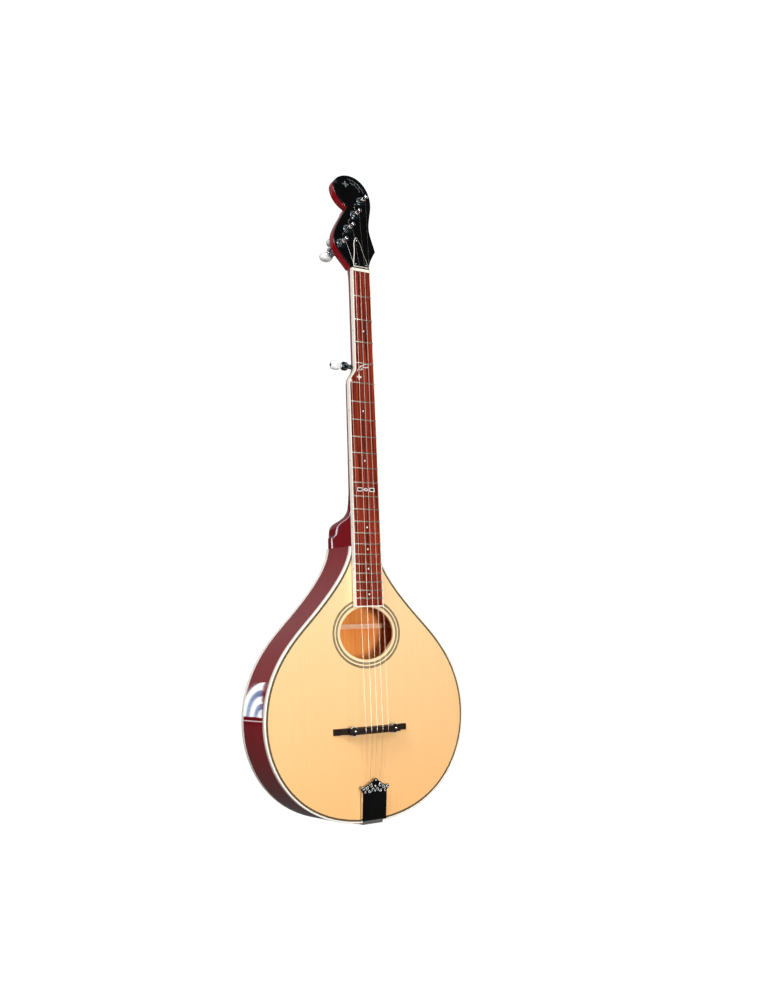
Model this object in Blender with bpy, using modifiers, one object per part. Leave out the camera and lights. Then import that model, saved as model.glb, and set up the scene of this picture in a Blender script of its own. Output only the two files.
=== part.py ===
"""Five-string teardrop bouzouki with an oval sound hole and a one-sided scroll headstock.

Blender 4.5, metres, +Z up.  The sizes below are in millimetres, measured from the bridge line:
X to the player's treble side, Y back into the body (the soundboard's face is Y = 0), Z up the neck.
Everything hangs from the empty "body_frame", which puts the part's origin at the wall hanger's yoke,
just above the nut.
"""
import math

import bmesh
import bpy
from mathutils import Vector
from mathutils.geometry import interpolate_bezier

MM = 0.001
OBJECT_NAME = "bouzouki"
GAP = 0.3                       # clearance between pieces that touch on the real object

# ---- driving dimensions (mm) ---------------------------------------------------------------------
HANGER_HEIGHT = 685.0           # wall hanger's yoke above the bridge line: the part's origin
SCALE_LENGTH = 667.0            # nut to bridge, 26 1/4 inches
FRET_COUNT = 22
STRING_COUNT = 5

BODY_DEPTH = 63.0
PLATE_THICKNESS = 3.0
RIM_THICKNESS = 2.5
BINDING_WIDTH = 2.6
BINDING_HEIGHT = 6.0
PURFLING_WIDTH = 2.0
LINING_WIDTH = 6.0
LINING_HEIGHT = 11.0
LINING_END_Z = 208.0            # the linings stop here, below the neck block
NECK_BLOCK_Z = 212.0            # the neck block's lower face
TAIL_BLOCK_Z = -104.0           # the tail block's upper face
TAIL_BLOCK_HALF = 36.0
BRACE_WIDTH = 7.0
TOP_BRACE_HEIGHT = 8.0
BACK_BRACE_HEIGHT = 9.0
UPPER_BRACE_Z = 198.0
BACK_BRACE_Z = {"back_brace_upper": 147.5, "back_brace_lower": -10.0}
X_BRACE_ENDS = ((75.0, 150.0), (-92.0, -50.0))      # the middle of one bar's two ends
BRIDGE_PLATE_HEIGHT = 2.0
TENON_HALF = 7.0
TENON_Z = 247.0                 # the lower end of the neck's tenon
NECK_JOINT_Z = 262.0            # where the body's outline meets the neck

# the right half of the body's outline: Bezier anchors from the tail to the neck joint
BODY_ANCHORS = (
    (None, (0, -127.6), (122, -127.6)),
    ((172, -48), (172, 18), (172, 90)),
    ((125, 132), (99, 157), (57, 197)),
    ((26, 233), (24, NECK_JOINT_Z), None),
)
BODY_STEPS = 11                 # segments in each stretch of the outline

SOUND_HOLE_Z = 137.5
SOUND_HOLE_HALF = (46.5, 37.4)
ROSETTE_REACH = (3.6, 14.0)     # the rosette's inner and outer edges, outwards from the hole's edge
ROSETTE_DEPTH = 1.0

BOARD_TILT = math.radians(0.53)     # the neck leans back by this much
BOARD_FACE_AT_NUT = -4.67
BOARD_THICKNESS = 6.5
BOARD_LENGTH = 492.0
BOARD_HALF = (22.0, 24.2)           # half width of the five-string board at the nut line and at its end
BOARD_BINDING = 1.5
NUT_INSET = 11.5                    # the bass side steps in by this much above the fifth fret
STEP_START = 145.0                  # distance from the nut where the step begins and ends
STEP_END = 168.0
FRET_WIDTH = 2.0
FRET_HEIGHT = 1.1
NUT_LENGTH = 5.0
NUT_FACE = -6.0
FIFTH_FRET_FLOWER = (-5.0, -158.5)

HEAD_TILT = math.radians(14)
HEAD_ORIGIN = (0.0, -1.7, 672.0)    # where the headstock's face meets the nut
OVERLAY_THICKNESS = 2.0
HEAD_THICKNESS = 12.0
# the headstock's outline in its own plane (X, distance up the face), from the nut's treble corner
HEAD_ANCHORS = (
    (None, (22.3, 1), (22.6, 11)),
    ((33, 25), (40, 34), (39, 44)),
    ((36.2, 56), (36, 68), (36, 86)),
    ((49, 106), (49, 124), (49, 147)),
    ((36, 162), (17, 162), (0, 162)),
    ((-15, 151), (-15, 138), (-15, 123)),
    ((-7, 113), (3, 107), (-5, 92)),
    ((-32, 64), (-32, 44), (-32, 27)),
    ((-18, 14), (-10.5, 1), None),
)
HEAD_STEPS = 5

HEAD_FLOWER = (7.5, 145.5)
ROD_X = 7.5                         # the truss rod and its cover sit on this line
ROD_RADIUS = 2.4
ROD_LENGTH = 378.0
ROD_CHANNEL_HALF = 3.2
ROD_POCKET_HALF = 5.6

TUNER_FIRST = (-21.0, 38.5)         # lowest tuner on the headstock's face
TUNER_STEP = (17.2, 26.9)           # from one tuner to the next
TUNER_COUNT = 4
TUNER_HOLE = 4.6
POST_RADIUS = 3.2
POST_TOP = 17.0
HOUSING_RADIUS = 8.0
HOUSING_LENGTH = 19.0               # behind the headstock
BUTTON_SIZE = (21.0, 13.5, 15.0)    # width, thickness, length

PIP_X = -20.4                       # the fifth string's own little nut, just above the fifth fret
PIP_DISTANCE = 164.6
PEG_DISTANCE = 143.0                # fifth-string peg, distance from the nut
PEG_DEPTH = 2.6
PEG_LENGTH = 21.0                   # from the neck's side to the end of the peg's housing
PEG_BUTTON_SIZE = (15.0, 10.5, 17.0)

BRIDGE_Z = 1.7                      # middle of the bridge, which sits a little above the scale's end
BRIDGE_LENGTH = 125.0
BRIDGE_WIDTH = 9.0
BRIDGE_POST_X = 35.0
BRIDGE_POST_RADIUS = 1.5
BRIDGE_HOLE_RADIUS = 1.9            # in the base, the saddle and the thumbwheels
BASE_TOP = 7.8                      # heights above the soundboard
SADDLE_HALF = 43.5
SADDLE_BOTTOM = 13.2
SADDLE_TOP = 18.4
WHEEL_BOTTOM = 10.5
WHEEL_TOP = 12.9
WHEEL_RADIUS = 7.0

STRING_RADII = (0.13, 0.29, 0.21, 0.15, 0.13)       # fifth string first, then fourth to first
STRING_AT_BRIDGE = (-19.5, -9.75, 0.0, 9.75, 19.5)
STRING_AT_NUT = (None, -6.8, 1.6, 10.0, 18.4)
STRING_AT_TAIL = (-12.0, -6.0, 0.0, 6.0, 12.0)
STRING_OVER_NUT = 6.7               # heights above the soundboard's plane
STRING_OVER_SADDLE = 19.05

TAIL_END_Z = -127.6
TAIL_SCREW_DEPTH = 26.0
TAIL_SCREW_X = {"bass": -10.0, "treble": 10.0}
BRACKET_HALF = 17.0
BRACKET_THICKNESS = 1.2
BRACKET_TOP_Z = -82.0
BRACKET_REACH = 44.0                # how far the bracket wraps round the tail
HOOK_Z = -108.0                     # string hooks on the tailpiece's bracket
COVER_TILT = math.radians(5)
COVER_HALF = 20.65
COVER_LENGTH = 40.0
COVER_THICKNESS = 0.9
COVER_FLANGE = 3.6                  # depth of the cover's folded sides

# ---- colours -------------------------------------------------------------------------------------
SPRUCE = ("spruce", (0.90, 0.66, 0.33), 0.25, 0.0)
MAHOGANY = ("inner_wood", (0.62, 0.36, 0.19), 0.6, 0.0)
CHERRY = ("cherry_lacquer", (0.30, 0.018, 0.025), 0.12, 0.0)
ROSEWOOD = ("fretboard_wood", (0.27, 0.055, 0.03), 0.4, 0.0)
IVOROID = ("cream_binding", (0.90, 0.84, 0.68), 0.3, 0.0)
PURFLING = ("dark_purfling", (0.16, 0.12, 0.09), 0.4, 0.0)
BLACK = ("black_lacquer", (0.008, 0.008, 0.009), 0.08, 0.0)
EBONY = ("ebony", (0.02, 0.016, 0.014), 0.35, 0.0)
CHROME = ("chrome", (0.80, 0.81, 0.83), 0.10, 1.0)
STEEL = ("steel", (0.62, 0.62, 0.63), 0.30, 1.0)
PEARL = ("pearl", (0.88, 0.89, 0.86), 0.18, 0.0)
BONE = ("bone", (0.90, 0.86, 0.74), 0.35, 0.0)

VIEWS = {
    "front": (math.pi / 2, 0.0, 0.0),               # drawn in X and Z, thick along Y
    "plan": (0.0, 0.0, 0.0),                        # drawn in X and Y, thick along Z
    "side": (math.pi / 2, 0.0, math.pi / 2),        # drawn in Y and Z, thick along X
}
FORWARD = (math.pi / 2, 0.0, 0.0)       # turned shapes: local +Z points out of the face
BACKWARD = (-math.pi / 2, 0.0, 0.0)     # local +Z points out of the back
DOWNWARD = (math.pi, 0.0, 0.0)
BASSWARD = (0.0, -math.pi / 2, 0.0)


# ---- scene and materials -------------------------------------------------------------------------
def clear_scene():
    for obj in list(bpy.data.objects):
        bpy.data.objects.remove(obj, do_unlink=True)


def new_collection(name):
    collection = bpy.data.collections.new(name)
    bpy.context.scene.collection.children.link(collection)
    return collection


def material_for(node, finish):
    """Each node has its own material, named for the finish and the node."""
    finish_name, colour, roughness, metallic = finish
    material = bpy.data.materials.new(f"{finish_name}_{node}")
    material.use_nodes = True
    shader = material.node_tree.nodes["Principled BSDF"]
    shader.inputs["Base Color"].default_value = (*colour, 1.0)
    shader.inputs["Roughness"].default_value = roughness
    shader.inputs["Metallic"].default_value = metallic
    material.diffuse_color = (*colour, 1.0)
    return material


def empty(name, parent, location=(0, 0, 0), rotation=(0, 0, 0)):
    obj = bpy.data.objects.new(name, None)
    obj.empty_display_size = 0.01
    obj.location = Vector(location) * MM
    obj.rotation_euler = rotation
    obj.parent = parent
    PARTS.objects.link(obj)
    return obj


def place(name, data, parent, finish, location=(0, 0, 0), rotation=(0, 0, 0)):
    """Put a mesh or a curve in the scene; without a finish it is a cutter."""
    obj = bpy.data.objects.new(name, data)
    obj.location = Vector(location) * MM
    obj.rotation_euler = rotation
    obj.parent = parent
    if finish is None:
        CUTTERS.objects.link(obj)
        obj.hide_render = True
        obj.display_type = "WIRE"
    else:
        PARTS.objects.link(obj)
        data.materials.append(material_for(name, finish))
    return obj


def smooth(mesh, angle=35):
    mesh.shade_smooth()
    mesh.set_sharp_from_angle(angle=math.radians(angle))


# ---- modelling tools -----------------------------------------------------------------------------
def drawn(name, outlines, view, low, high, parent, finish, origin=(0, 0, 0)):
    """A flat outline, with any holes in it, made thick from low to high along the view's depth."""
    curve = bpy.data.curves.new(name, "CURVE")
    curve.dimensions = "2D"
    curve.fill_mode = "BOTH"
    curve.extrude = (high - low) / 2 * MM
    for outline in outlines:
        spline = curve.splines.new("POLY")
        spline.points.add(len(outline) - 1)
        for point, (a, b) in zip(spline.points, outline):
            point.co = (a * MM, b * MM, 0.0, 1.0)
        spline.use_cyclic_u = True
    middle = (low + high) / 2
    shift = {"front": (0, middle, 0), "plan": (0, 0, middle), "side": (middle, 0, 0)}[view]
    location = Vector(origin) + Vector(shift)
    return place(name, curve, parent, finish, location, VIEWS[view])


def turned(name, profile, parent, finish, location=(0, 0, 0), rotation=(0, 0, 0), steps=16):
    """A lathe shape: (radius, height) pairs that run down the outer side."""
    mesh = bpy.data.meshes.new(name)
    points = [(radius * MM, 0.0, height * MM) for radius, height in profile]
    edges = [(i, i + 1) for i in range(len(points) - 1)]
    if profile[0][0] > 0:
        edges.append((len(points) - 1, 0))
    mesh.from_pydata(points, edges, [])
    obj = place(name, mesh, parent, finish, location, rotation)
    screw = obj.modifiers.new("lathe", "SCREW")
    screw.steps = steps
    screw.render_steps = steps
    screw.use_merge_vertices = True
    screw.merge_threshold = 0.00001
    screw.use_smooth_shade = True
    return as_mesh(obj)


def as_mesh(obj):
    """Replace a curve, or an object with modifiers, by the welded mesh that it makes."""
    bpy.context.view_layer.update()
    graph = bpy.context.evaluated_depsgraph_get()
    mesh = bpy.data.meshes.new_from_object(obj.evaluated_get(graph))
    work = bmesh.new()
    work.from_mesh(mesh)
    bmesh.ops.remove_doubles(work, verts=work.verts, dist=0.000001)
    work.to_mesh(mesh)
    work.free()
    solid = bpy.data.objects.new(obj.name, mesh)
    for collection in obj.users_collection:
        collection.objects.link(solid)
    solid.hide_render = obj.hide_render
    solid.display_type = obj.display_type
    solid.parent = obj.parent
    solid.matrix_world = obj.matrix_world.copy()
    name = obj.name
    bpy.data.objects.remove(obj, do_unlink=True)
    solid.name = name
    smooth(mesh)
    return solid


def combine(target, tool, operation):
    """Cut a tool from a solid, or join it on, and keep the result as the solid's mesh."""
    step = target.modifiers.new(operation.lower(), "BOOLEAN")
    step.operation = operation
    step.object = tool
    step.solver = "EXACT"
    return as_mesh(target)


def cut(target, *tools):
    for tool in tools:
        target = combine(target, tool, "DIFFERENCE")
    return target


def joined(target, *tools):
    """Join solids to the target; the joined solids are then removed."""
    for tool in tools:
        target = combine(target, tool, "UNION")
        bpy.data.objects.remove(tool, do_unlink=True)
    return target


def loft(name, sections, parent, finish):
    """A closed skin through sections that all have the same number of points."""
    work = bmesh.new()
    rows = [[work.verts.new(Vector(point) * MM) for point in section] for section in sections]
    count = len(rows[0])
    for lower, upper in zip(rows, rows[1:]):
        for i in range(count):
            j = (i + 1) % count
            work.faces.new((lower[i], lower[j], upper[j], upper[i]))
    work.faces.new(rows[0])
    work.faces.new(rows[-1])
    bmesh.ops.recalc_face_normals(work, faces=work.faces)
    mesh = bpy.data.meshes.new(name)
    work.to_mesh(mesh)
    work.free()
    smooth(mesh)
    return place(name, mesh, parent, finish)


# ---- outlines ------------------------------------------------------------------------------------
def bezier_points(anchors, steps):
    """Points along a chain of Bezier stretches; an anchor is (handle in, point, handle out)."""
    points = []
    for (_, start, leave), (arrive, end, _) in zip(anchors, anchors[1:]):
        stretch = interpolate_bezier(Vector(start), Vector(leave), Vector(arrive), Vector(end), steps + 1)
        points.extend((p.x, p.y) for p in stretch[:-1])
    points.append(tuple(anchors[-1][1]))
    return points


def inset(points, distance):
    """Move a half outline inwards; it runs anticlockwise, so inwards is to the left."""
    moved = []
    for i, (x, z) in enumerate(points):
        before = points[max(i - 1, 0)]
        after = points[min(i + 1, len(points) - 1)]
        tangent = Vector((after[0] - before[0], after[1] - before[1])).normalized()
        if i == 0:
            tangent = Vector((1.0, 0.0))
        moved.append((x - tangent.y * distance, z + tangent.x * distance))
    moved[0] = (0.0, moved[0][1])
    moved[-1] = (moved[-1][0], points[-1][1])
    return moved


def mirrored(points):
    return [(-x, z) for x, z in reversed(points)]


def body_half(distance):
    return inset(bezier_points(BODY_ANCHORS, BODY_STEPS), distance)


def body_loop(distance):
    half = body_half(distance)
    return half + mirrored(half)[:-1]


def body_band(outer, inner):
    """A horseshoe that follows the body's edge and is open at the neck."""
    outside = body_half(outer)
    inside = body_half(inner)
    return mirrored(outside)[:-1] + outside + inside[::-1] + mirrored(inside)[::-1][1:]


def half_width(z, distance):
    """Half the body's width at a height, inside the given inset."""
    points = body_half(distance)
    for (x0, z0), (x1, z1) in zip(points, points[1:]):
        if z0 <= z <= z1:
            return x0 + (x1 - x0) * (z - z0) / (z1 - z0)
    return 0.0


def ellipse(centre, half, count):
    return [
        (centre[0] + half[0] * math.cos(2 * math.pi * i / count),
         centre[1] + half[1] * math.sin(2 * math.pi * i / count))
        for i in range(count)
    ]


def rectangle(x0, x1, z0, z1):
    return [(x0, z0), (x1, z0), (x1, z1), (x0, z1)]


# ---- body ----------------------------------------------------------------------------------------
def build_plates(frame):
    edge = BINDING_WIDTH + PURFLING_WIDTH + 2 * GAP
    hole = ellipse((0, SOUND_HOLE_Z), SOUND_HOLE_HALF, 40)
    top = as_mesh(drawn("top_plate", [body_loop(edge), hole], "front", 0, PLATE_THICKNESS, frame, SPRUCE))
    near, far = ROSETTE_REACH
    channel = as_mesh(drawn("rosette_channel", ring_pair(near - GAP, far + GAP), "front",
                            -1, ROSETTE_DEPTH + GAP, frame, None))
    cut(top, channel)
    drawn("rosette", ring_pair(near, far), "front", 0, ROSETTE_DEPTH, frame, PURFLING)
    back_edge = BINDING_WIDTH + GAP
    drawn("back_plate", [body_loop(back_edge)], "front", BODY_DEPTH - PLATE_THICKNESS, BODY_DEPTH,
          frame, CHERRY)


def ring_pair(near, far):
    grown = [tuple(side + offset for side in SOUND_HOLE_HALF) for offset in (far, near)]
    return [ellipse((0, SOUND_HOLE_Z), half, 36) for half in grown]


def build_edges(frame):
    drawn("top_binding", [body_band(0, BINDING_WIDTH)], "front", 0, BINDING_HEIGHT, frame, IVOROID)
    drawn("back_binding", [body_band(0, BINDING_WIDTH)], "front", BODY_DEPTH - BINDING_HEIGHT,
          BODY_DEPTH, frame, IVOROID)
    near = BINDING_WIDTH + GAP
    drawn("top_purfling", [body_band(near, near + PURFLING_WIDTH)], "front", 0, PLATE_THICKNESS,
          frame, PURFLING)


def build_rims(frame):
    """Two bent sides that meet at the tail; each runs up to the neck."""
    low = BINDING_HEIGHT + GAP
    high = BODY_DEPTH - BINDING_HEIGHT - GAP
    outside = body_half(0)
    inside = body_half(RIM_THICKNESS)
    outside[0] = (GAP / 2, outside[0][1])
    inside[0] = (GAP / 2, inside[0][1])
    half = outside + inside[::-1]
    treble = as_mesh(drawn("rim_treble", [half], "front", low, high, frame, CHERRY))
    bass = as_mesh(drawn("rim_bass", [mirrored(half)], "front", low, high, frame, CHERRY))
    return bass, treble


def build_linings(frame):
    """Strips glued inside the rim's edges, which the plates are glued to; they stop at the neck block."""
    near = RIM_THICKNESS + GAP + 0.1
    outside, inside = ([p for p in body_half(distance) if p[1] < LINING_END_Z]
                       for distance in (near, near + LINING_WIDTH))
    strip = mirrored(outside)[:-1] + outside + inside[::-1] + mirrored(inside)[::-1][1:]
    top = PLATE_THICKNESS + GAP
    bottom = BODY_DEPTH - PLATE_THICKNESS - GAP
    drawn("top_lining", [strip], "front", top, top + LINING_HEIGHT, frame, MAHOGANY)
    drawn("back_lining", [strip], "front", bottom - LINING_HEIGHT, bottom, frame, MAHOGANY)


def build_blocks(frame):
    """The tail block, between the linings behind the tailpiece, and the neck block with its mortise."""
    low = PLATE_THICKNESS + GAP
    high = BODY_DEPTH - PLATE_THICKNESS - GAP
    clear = LINING_HEIGHT + GAP
    inner = body_half(RIM_THICKNESS + GAP)
    foot = [p for p in inner if p[0] < TAIL_BLOCK_HALF and p[1] < 0]
    side = foot[-1][0]
    tail = foot + [(side, TAIL_BLOCK_Z), (-side, TAIL_BLOCK_Z)] + mirrored(foot)[:-1]
    tail_block = as_mesh(drawn("tail_block", [tail], "front", low + clear, high - clear, frame, MAHOGANY))
    throat = [p for p in inner if p[1] > NECK_BLOCK_Z]
    reach = TENON_HALF + GAP
    floor = TENON_Z - GAP
    mortise = [(reach, NECK_JOINT_Z), (reach, floor), (-reach, floor), (-reach, NECK_JOINT_Z)]
    drawn("neck_block", [throat + mortise + mirrored(throat)], "front", low, high, frame, MAHOGANY)
    return tail_block


def brace(name, z, height, frame, from_top):
    """A bar across a plate, tapered towards its ends."""
    reach = half_width(z, RIM_THICKNESS + GAP + LINING_WIDTH + 2.0) - 1.0
    base = PLATE_THICKNESS + GAP
    end = base + 2.5
    crown = base + height
    outline = [(-reach, base), (reach, base), (reach, end), (reach - 26, crown), (26 - reach, crown),
               (-reach, end)]
    if not from_top:
        outline = [(x, BODY_DEPTH - y) for x, y in outline]
    return drawn(name, [outline], "plan", z - BRACE_WIDTH / 2, z + BRACE_WIDTH / 2, frame, MAHOGANY)


def build_braces(frame):
    """An X brace and an upper bar under the top, a plate under the bridge and two bars on the back."""
    low = PLATE_THICKNESS + GAP
    legs = []
    for side in (1, -1):
        upper, lower = (Vector((x * side, z)) for x, z in X_BRACE_ENDS)
        across = (upper - lower).normalized().orthogonal() * BRACE_WIDTH / 2
        bar = [tuple(p) for p in (upper + across, upper - across, lower - across, lower + across)]
        legs.append(as_mesh(drawn("top_x_brace", [bar], "front", low, low + TOP_BRACE_HEIGHT, frame,
                                  MAHOGANY)))
    joined(*legs)
    brace("top_upper_brace", UPPER_BRACE_Z, TOP_BRACE_HEIGHT, frame, True)
    for name, z in BACK_BRACE_Z.items():
        brace(name, z, BACK_BRACE_HEIGHT, frame, False)
    plate = [(-24, 16), (24, 16), (50, -14), (-50, -14)]
    drawn("bridge_plate", [plate], "front", low, low + BRIDGE_PLATE_HEIGHT, frame, MAHOGANY)


# ---- neck ----------------------------------------------------------------------------------------
def board_half(distance):
    """Half width of the full board at a distance from the nut."""
    return BOARD_HALF[0] + (BOARD_HALF[1] - BOARD_HALF[0]) * distance / BOARD_LENGTH


def bass_edge(distance):
    """The board's bass edge, which steps in above the fifth fret."""
    t = min(max((distance - STEP_START) / (STEP_END - STEP_START), 0.0), 1.0)
    inset_here = NUT_INSET * (1 - t * t * (3 - 2 * t))
    return -board_half(distance) + inset_here


def board_outline(margin, foot=0.0):
    """The board's outline, taken in by a margin at its sides and by foot at its lower end."""
    stations = [0.0, STEP_START]
    stations += [STEP_START + (STEP_END - STEP_START) * i / 6 for i in range(1, 7)]
    stations += [BOARD_LENGTH - foot]
    bass = [(bass_edge(d) + margin, -d) for d in stations]
    end = BOARD_LENGTH - foot
    return bass + [(board_half(end) - margin, -end), (board_half(0) - margin, 0.0)]


def neck_face(z):
    """Y of the neck's glued face, under the board, at a height."""
    fall = (SCALE_LENGTH - z) * math.tan(BOARD_TILT)
    return BOARD_FACE_AT_NUT + BOARD_THICKNESS + GAP - fall


def neck_section(origin, tilt, bass, treble, depth, fullness, count=12):
    """A D-shaped section: flat in front, rounded behind, square to a neck tilted back."""
    middle = (bass + treble) / 2
    half = (treble - bass) / 2
    back = Vector((0, math.cos(tilt), -math.sin(tilt)))
    points = []
    for i in range(count + 1):
        angle = math.pi * i / count
        across = math.copysign(abs(math.cos(angle)) ** (2 / fullness), math.cos(angle))
        down = depth * math.sin(angle) ** (2 / fullness)
        points.append(Vector((middle + half * across, 0, 0)) + Vector(origin) + back * down)
    return points


def build_neck(frame, board, head):
    """Shaft, heel, tenon, tongue and headstock core: one piece of wood."""
    stations = [                    # height, Y of the back, fullness of the section
        (262.3, 62.4, 5.0), (284.0, 62.4, 5.0), (290.0, 60.5, 4.4), (296.0, 54.5, 3.8),
        (303.0, 46.0, 3.3), (311.0, 37.0, 2.9), (320.0, 29.0, 2.6), (331.0, 22.8, 2.4),
        (346.0, 20.0, 2.3), (400.0, 19.6, 2.3), (498.0, 19.4, 2.3), (504.0, 19.4, 2.3),
        (510.0, 19.4, 2.3), (516.0, 19.5, 2.3), (522.0, 19.5, 2.3), (600.0, 19.8, 2.3),
        (650.0, 20.2, 2.3), (664.0, 20.8, 2.3),
    ]
    sections = []
    for z, back, fullness in stations:
        distance = SCALE_LENGTH - z
        face = neck_face(z)
        treble = min(board_half(distance), 23.9)
        bass = max(bass_edge(distance), -23.9)
        sections.append(neck_section((0, face, z), 0.0, bass, treble, back - face, fullness))
    half_tilt = HEAD_TILT / 2
    sections.append(neck_section((0, 1.9, 668.0), half_tilt, -10.4, 22.2, 18.5, 2.4))
    up = Vector((0, math.sin(HEAD_TILT), math.cos(HEAD_TILT)))
    back = Vector((0, math.cos(HEAD_TILT), -math.sin(HEAD_TILT)))
    for rise, front, depth, bass, treble in ((3.0, 3.3, 13.5, -11.0, 22.2), (14.0, 3.3, 10.4, -16.0, 24.0)):
        origin = Vector(HEAD_ORIGIN) + up * rise + back * front
        sections.append(neck_section(origin, HEAD_TILT, bass, treble, depth, 2.8))
    neck = loft("neck", sections, frame, CHERRY)

    core_face = OVERLAY_THICKNESS + GAP
    outline = bezier_points(HEAD_ANCHORS, HEAD_STEPS)
    outline[0] = (outline[0][0], 2.0)
    outline[-1] = (outline[-1][0], 2.0)
    core = as_mesh(drawn("head_core", [outline], "front", core_face, core_face + HEAD_THICKNESS,
                         head, CHERRY))
    tongue = as_mesh(drawn("tongue", [[(neck_face(175.5) + 0.1, 175.5), (-GAP, 175.5), (-GAP, 266.0),
                                       (neck_face(266.0) + 0.1, 266.0)]], "side", -22.6, 22.6,
                           frame, CHERRY))
    tenon = as_mesh(drawn("tenon", [rectangle(-TENON_HALF, TENON_HALF, TENON_Z, 266.0)], "front", 8.0, 50.0,
                          frame, CHERRY))
    neck = joined(neck, core, tongue, tenon)
    channel = as_mesh(drawn("truss_channel", [rectangle(ROD_X - ROD_CHANNEL_HALF, ROD_X + ROD_CHANNEL_HALF,
                                                         -372.0, 3.0)],
                            "front", 5.0, BOARD_THICKNESS + GAP + 8.4, board, None))
    return cut(neck, channel, *head_cutters(head, core_face - 1.0, core_face + HEAD_THICKNESS + 6.0))


def head_cutters(head, low, high):
    """The truss rod's pocket and the four tuner holes."""
    opening = rectangle(ROD_X - ROD_POCKET_HALF, ROD_X + ROD_POCKET_HALF, -1.0, 22.0)
    pocket = as_mesh(drawn("truss_pocket", [opening], "front", -6.0, 12.4, head, None))
    tools = [pocket]
    profile = [(0, -low), (TUNER_HOLE, -low), (TUNER_HOLE, -high), (0, -high)]
    for x, rise in tuner_places():
        tools.append(turned("tuner_hole", profile, head, None, (x, 0, rise), FORWARD, 16))
    return tools


def build_overlay(head):
    outline = bezier_points(HEAD_ANCHORS, HEAD_STEPS)
    overlay = as_mesh(drawn("headstock_overlay", [outline], "front", 0, OVERLAY_THICKNESS, head, BLACK))
    pockets = head_cutters(head, -2.0, OVERLAY_THICKNESS + 2.0)
    overlay = cut(overlay, *pockets)
    flower = quatrefoil(HEAD_FLOWER, 6.5)
    bed = as_mesh(drawn("flower_bed", [grown(flower, 0.2)], "front", -1.0, 1.2, head, None))
    cut(overlay, bed)
    drawn("headstock_inlay", [flower], "front", 0, 0.9, head, PEARL)


def quatrefoil(centre, radius, count=32):
    """A flower of four round petals."""
    points = []
    for i in range(count):
        angle = 2 * math.pi * i / count
        reach = radius * (0.66 + 0.34 * math.cos(4 * angle))
        points.append((centre[0] + reach * math.cos(angle), centre[1] + reach * math.sin(angle)))
    return points


def grown(outline, margin):
    """A closed outline moved outwards, for the bed that an inlay lies in."""
    points = [Vector(p) for p in outline]
    area = sum(a.cross(b) for a, b in zip(points, points[1:] + points[:1]))
    turn = math.copysign(margin, area)
    moved = []
    for before, here, after in zip(points[-1:] + points[:-1], points, points[1:] + points[:1]):
        arriving = (here - before).normalized()
        leaving = (after - here).normalized()
        normals = Vector((arriving.y + leaving.y, -arriving.x - leaving.x))
        moved.append(tuple(here + normals * turn / (1 + arriving.dot(leaving))))
    return moved


def fret_distance(fret):
    return SCALE_LENGTH * (1 - 2 ** (-fret / 12))


def build_board(board):
    """Fretboard, its binding, frets and pearl markers, in the board's own tilted frame."""
    inner = BOARD_BINDING + 0.2
    wood = as_mesh(drawn("fretboard", [board_outline(inner, inner)], "front", 0, BOARD_THICKNESS,
                         board, ROSEWOOD))
    outside = board_outline(0.0)
    inside = board_outline(BOARD_BINDING, BOARD_BINDING)
    drawn("fretboard_binding", [outside + inside[::-1]], "front", 0, BOARD_THICKNESS, board, IVOROID)

    octave = (fret_distance(12) + fret_distance(11)) / 2
    markers = (
        ("octave_marker", rectangle(-15.5, 16.0, -octave - 3.0, -octave + 3.0)),
        ("fifth_fret_inlay", quatrefoil(FIFTH_FRET_FLOWER, 4.4)),
    )
    for name, outline in markers:
        bed = as_mesh(drawn(f"{name}_bed", [grown(outline, 0.2)], "front", -1.0, 1.4, board, None))
        wood = cut(wood, bed)
        drawn(name, [outline], "front", 0, 1.1, board, PEARL)
    joined(wood, frets(board))


def frets(board):
    """The 22 fret wires, as one tool that is joined to the board they are pressed into."""
    half = FRET_WIDTH / 2
    crown = [(0.3, -half), (0.3, half), (-0.7 * FRET_HEIGHT, half * 0.7), (-FRET_HEIGHT, 0),
             (-0.7 * FRET_HEIGHT, -half * 0.7)]
    inner = BOARD_BINDING + 0.4
    work = bmesh.new()
    for fret in range(1, FRET_COUNT + 1):
        distance = fret_distance(fret)
        wire = as_mesh(drawn("fret", [crown], "side", bass_edge(distance) + inner,
                             board_half(distance) - inner, board, ROSEWOOD, (0, 0, -distance)))
        mesh = wire.data
        mesh.transform(wire.matrix_basis)
        work.from_mesh(mesh)
        bpy.data.objects.remove(wire, do_unlink=True)
    mesh = bpy.data.meshes.new("frets")
    work.to_mesh(mesh)
    work.free()
    return place("frets", mesh, board, ROSEWOOD)


def build_nuts(frame, board):
    foot = neck_face(SCALE_LENGTH) - 0.4
    profile = [(NUT_FACE, SCALE_LENGTH + 0.3), (foot, SCALE_LENGTH + 0.3), (foot, SCALE_LENGTH + NUT_LENGTH),
               (NUT_FACE + 1.6, SCALE_LENGTH + NUT_LENGTH), (NUT_FACE + 0.4, SCALE_LENGTH + 2.6)]
    drawn("nut", [profile], "side", -10.5, 22.0, frame, BONE)
    pip_profile = [(0, 2.1), (1.0, 2.1), (1.3, 1.7), (1.3, 0.1), (0, 0.1)]
    turned("fifth_string_nut", pip_profile, board, BONE, (PIP_X, 0, -PIP_DISTANCE), FORWARD, 10)


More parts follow.
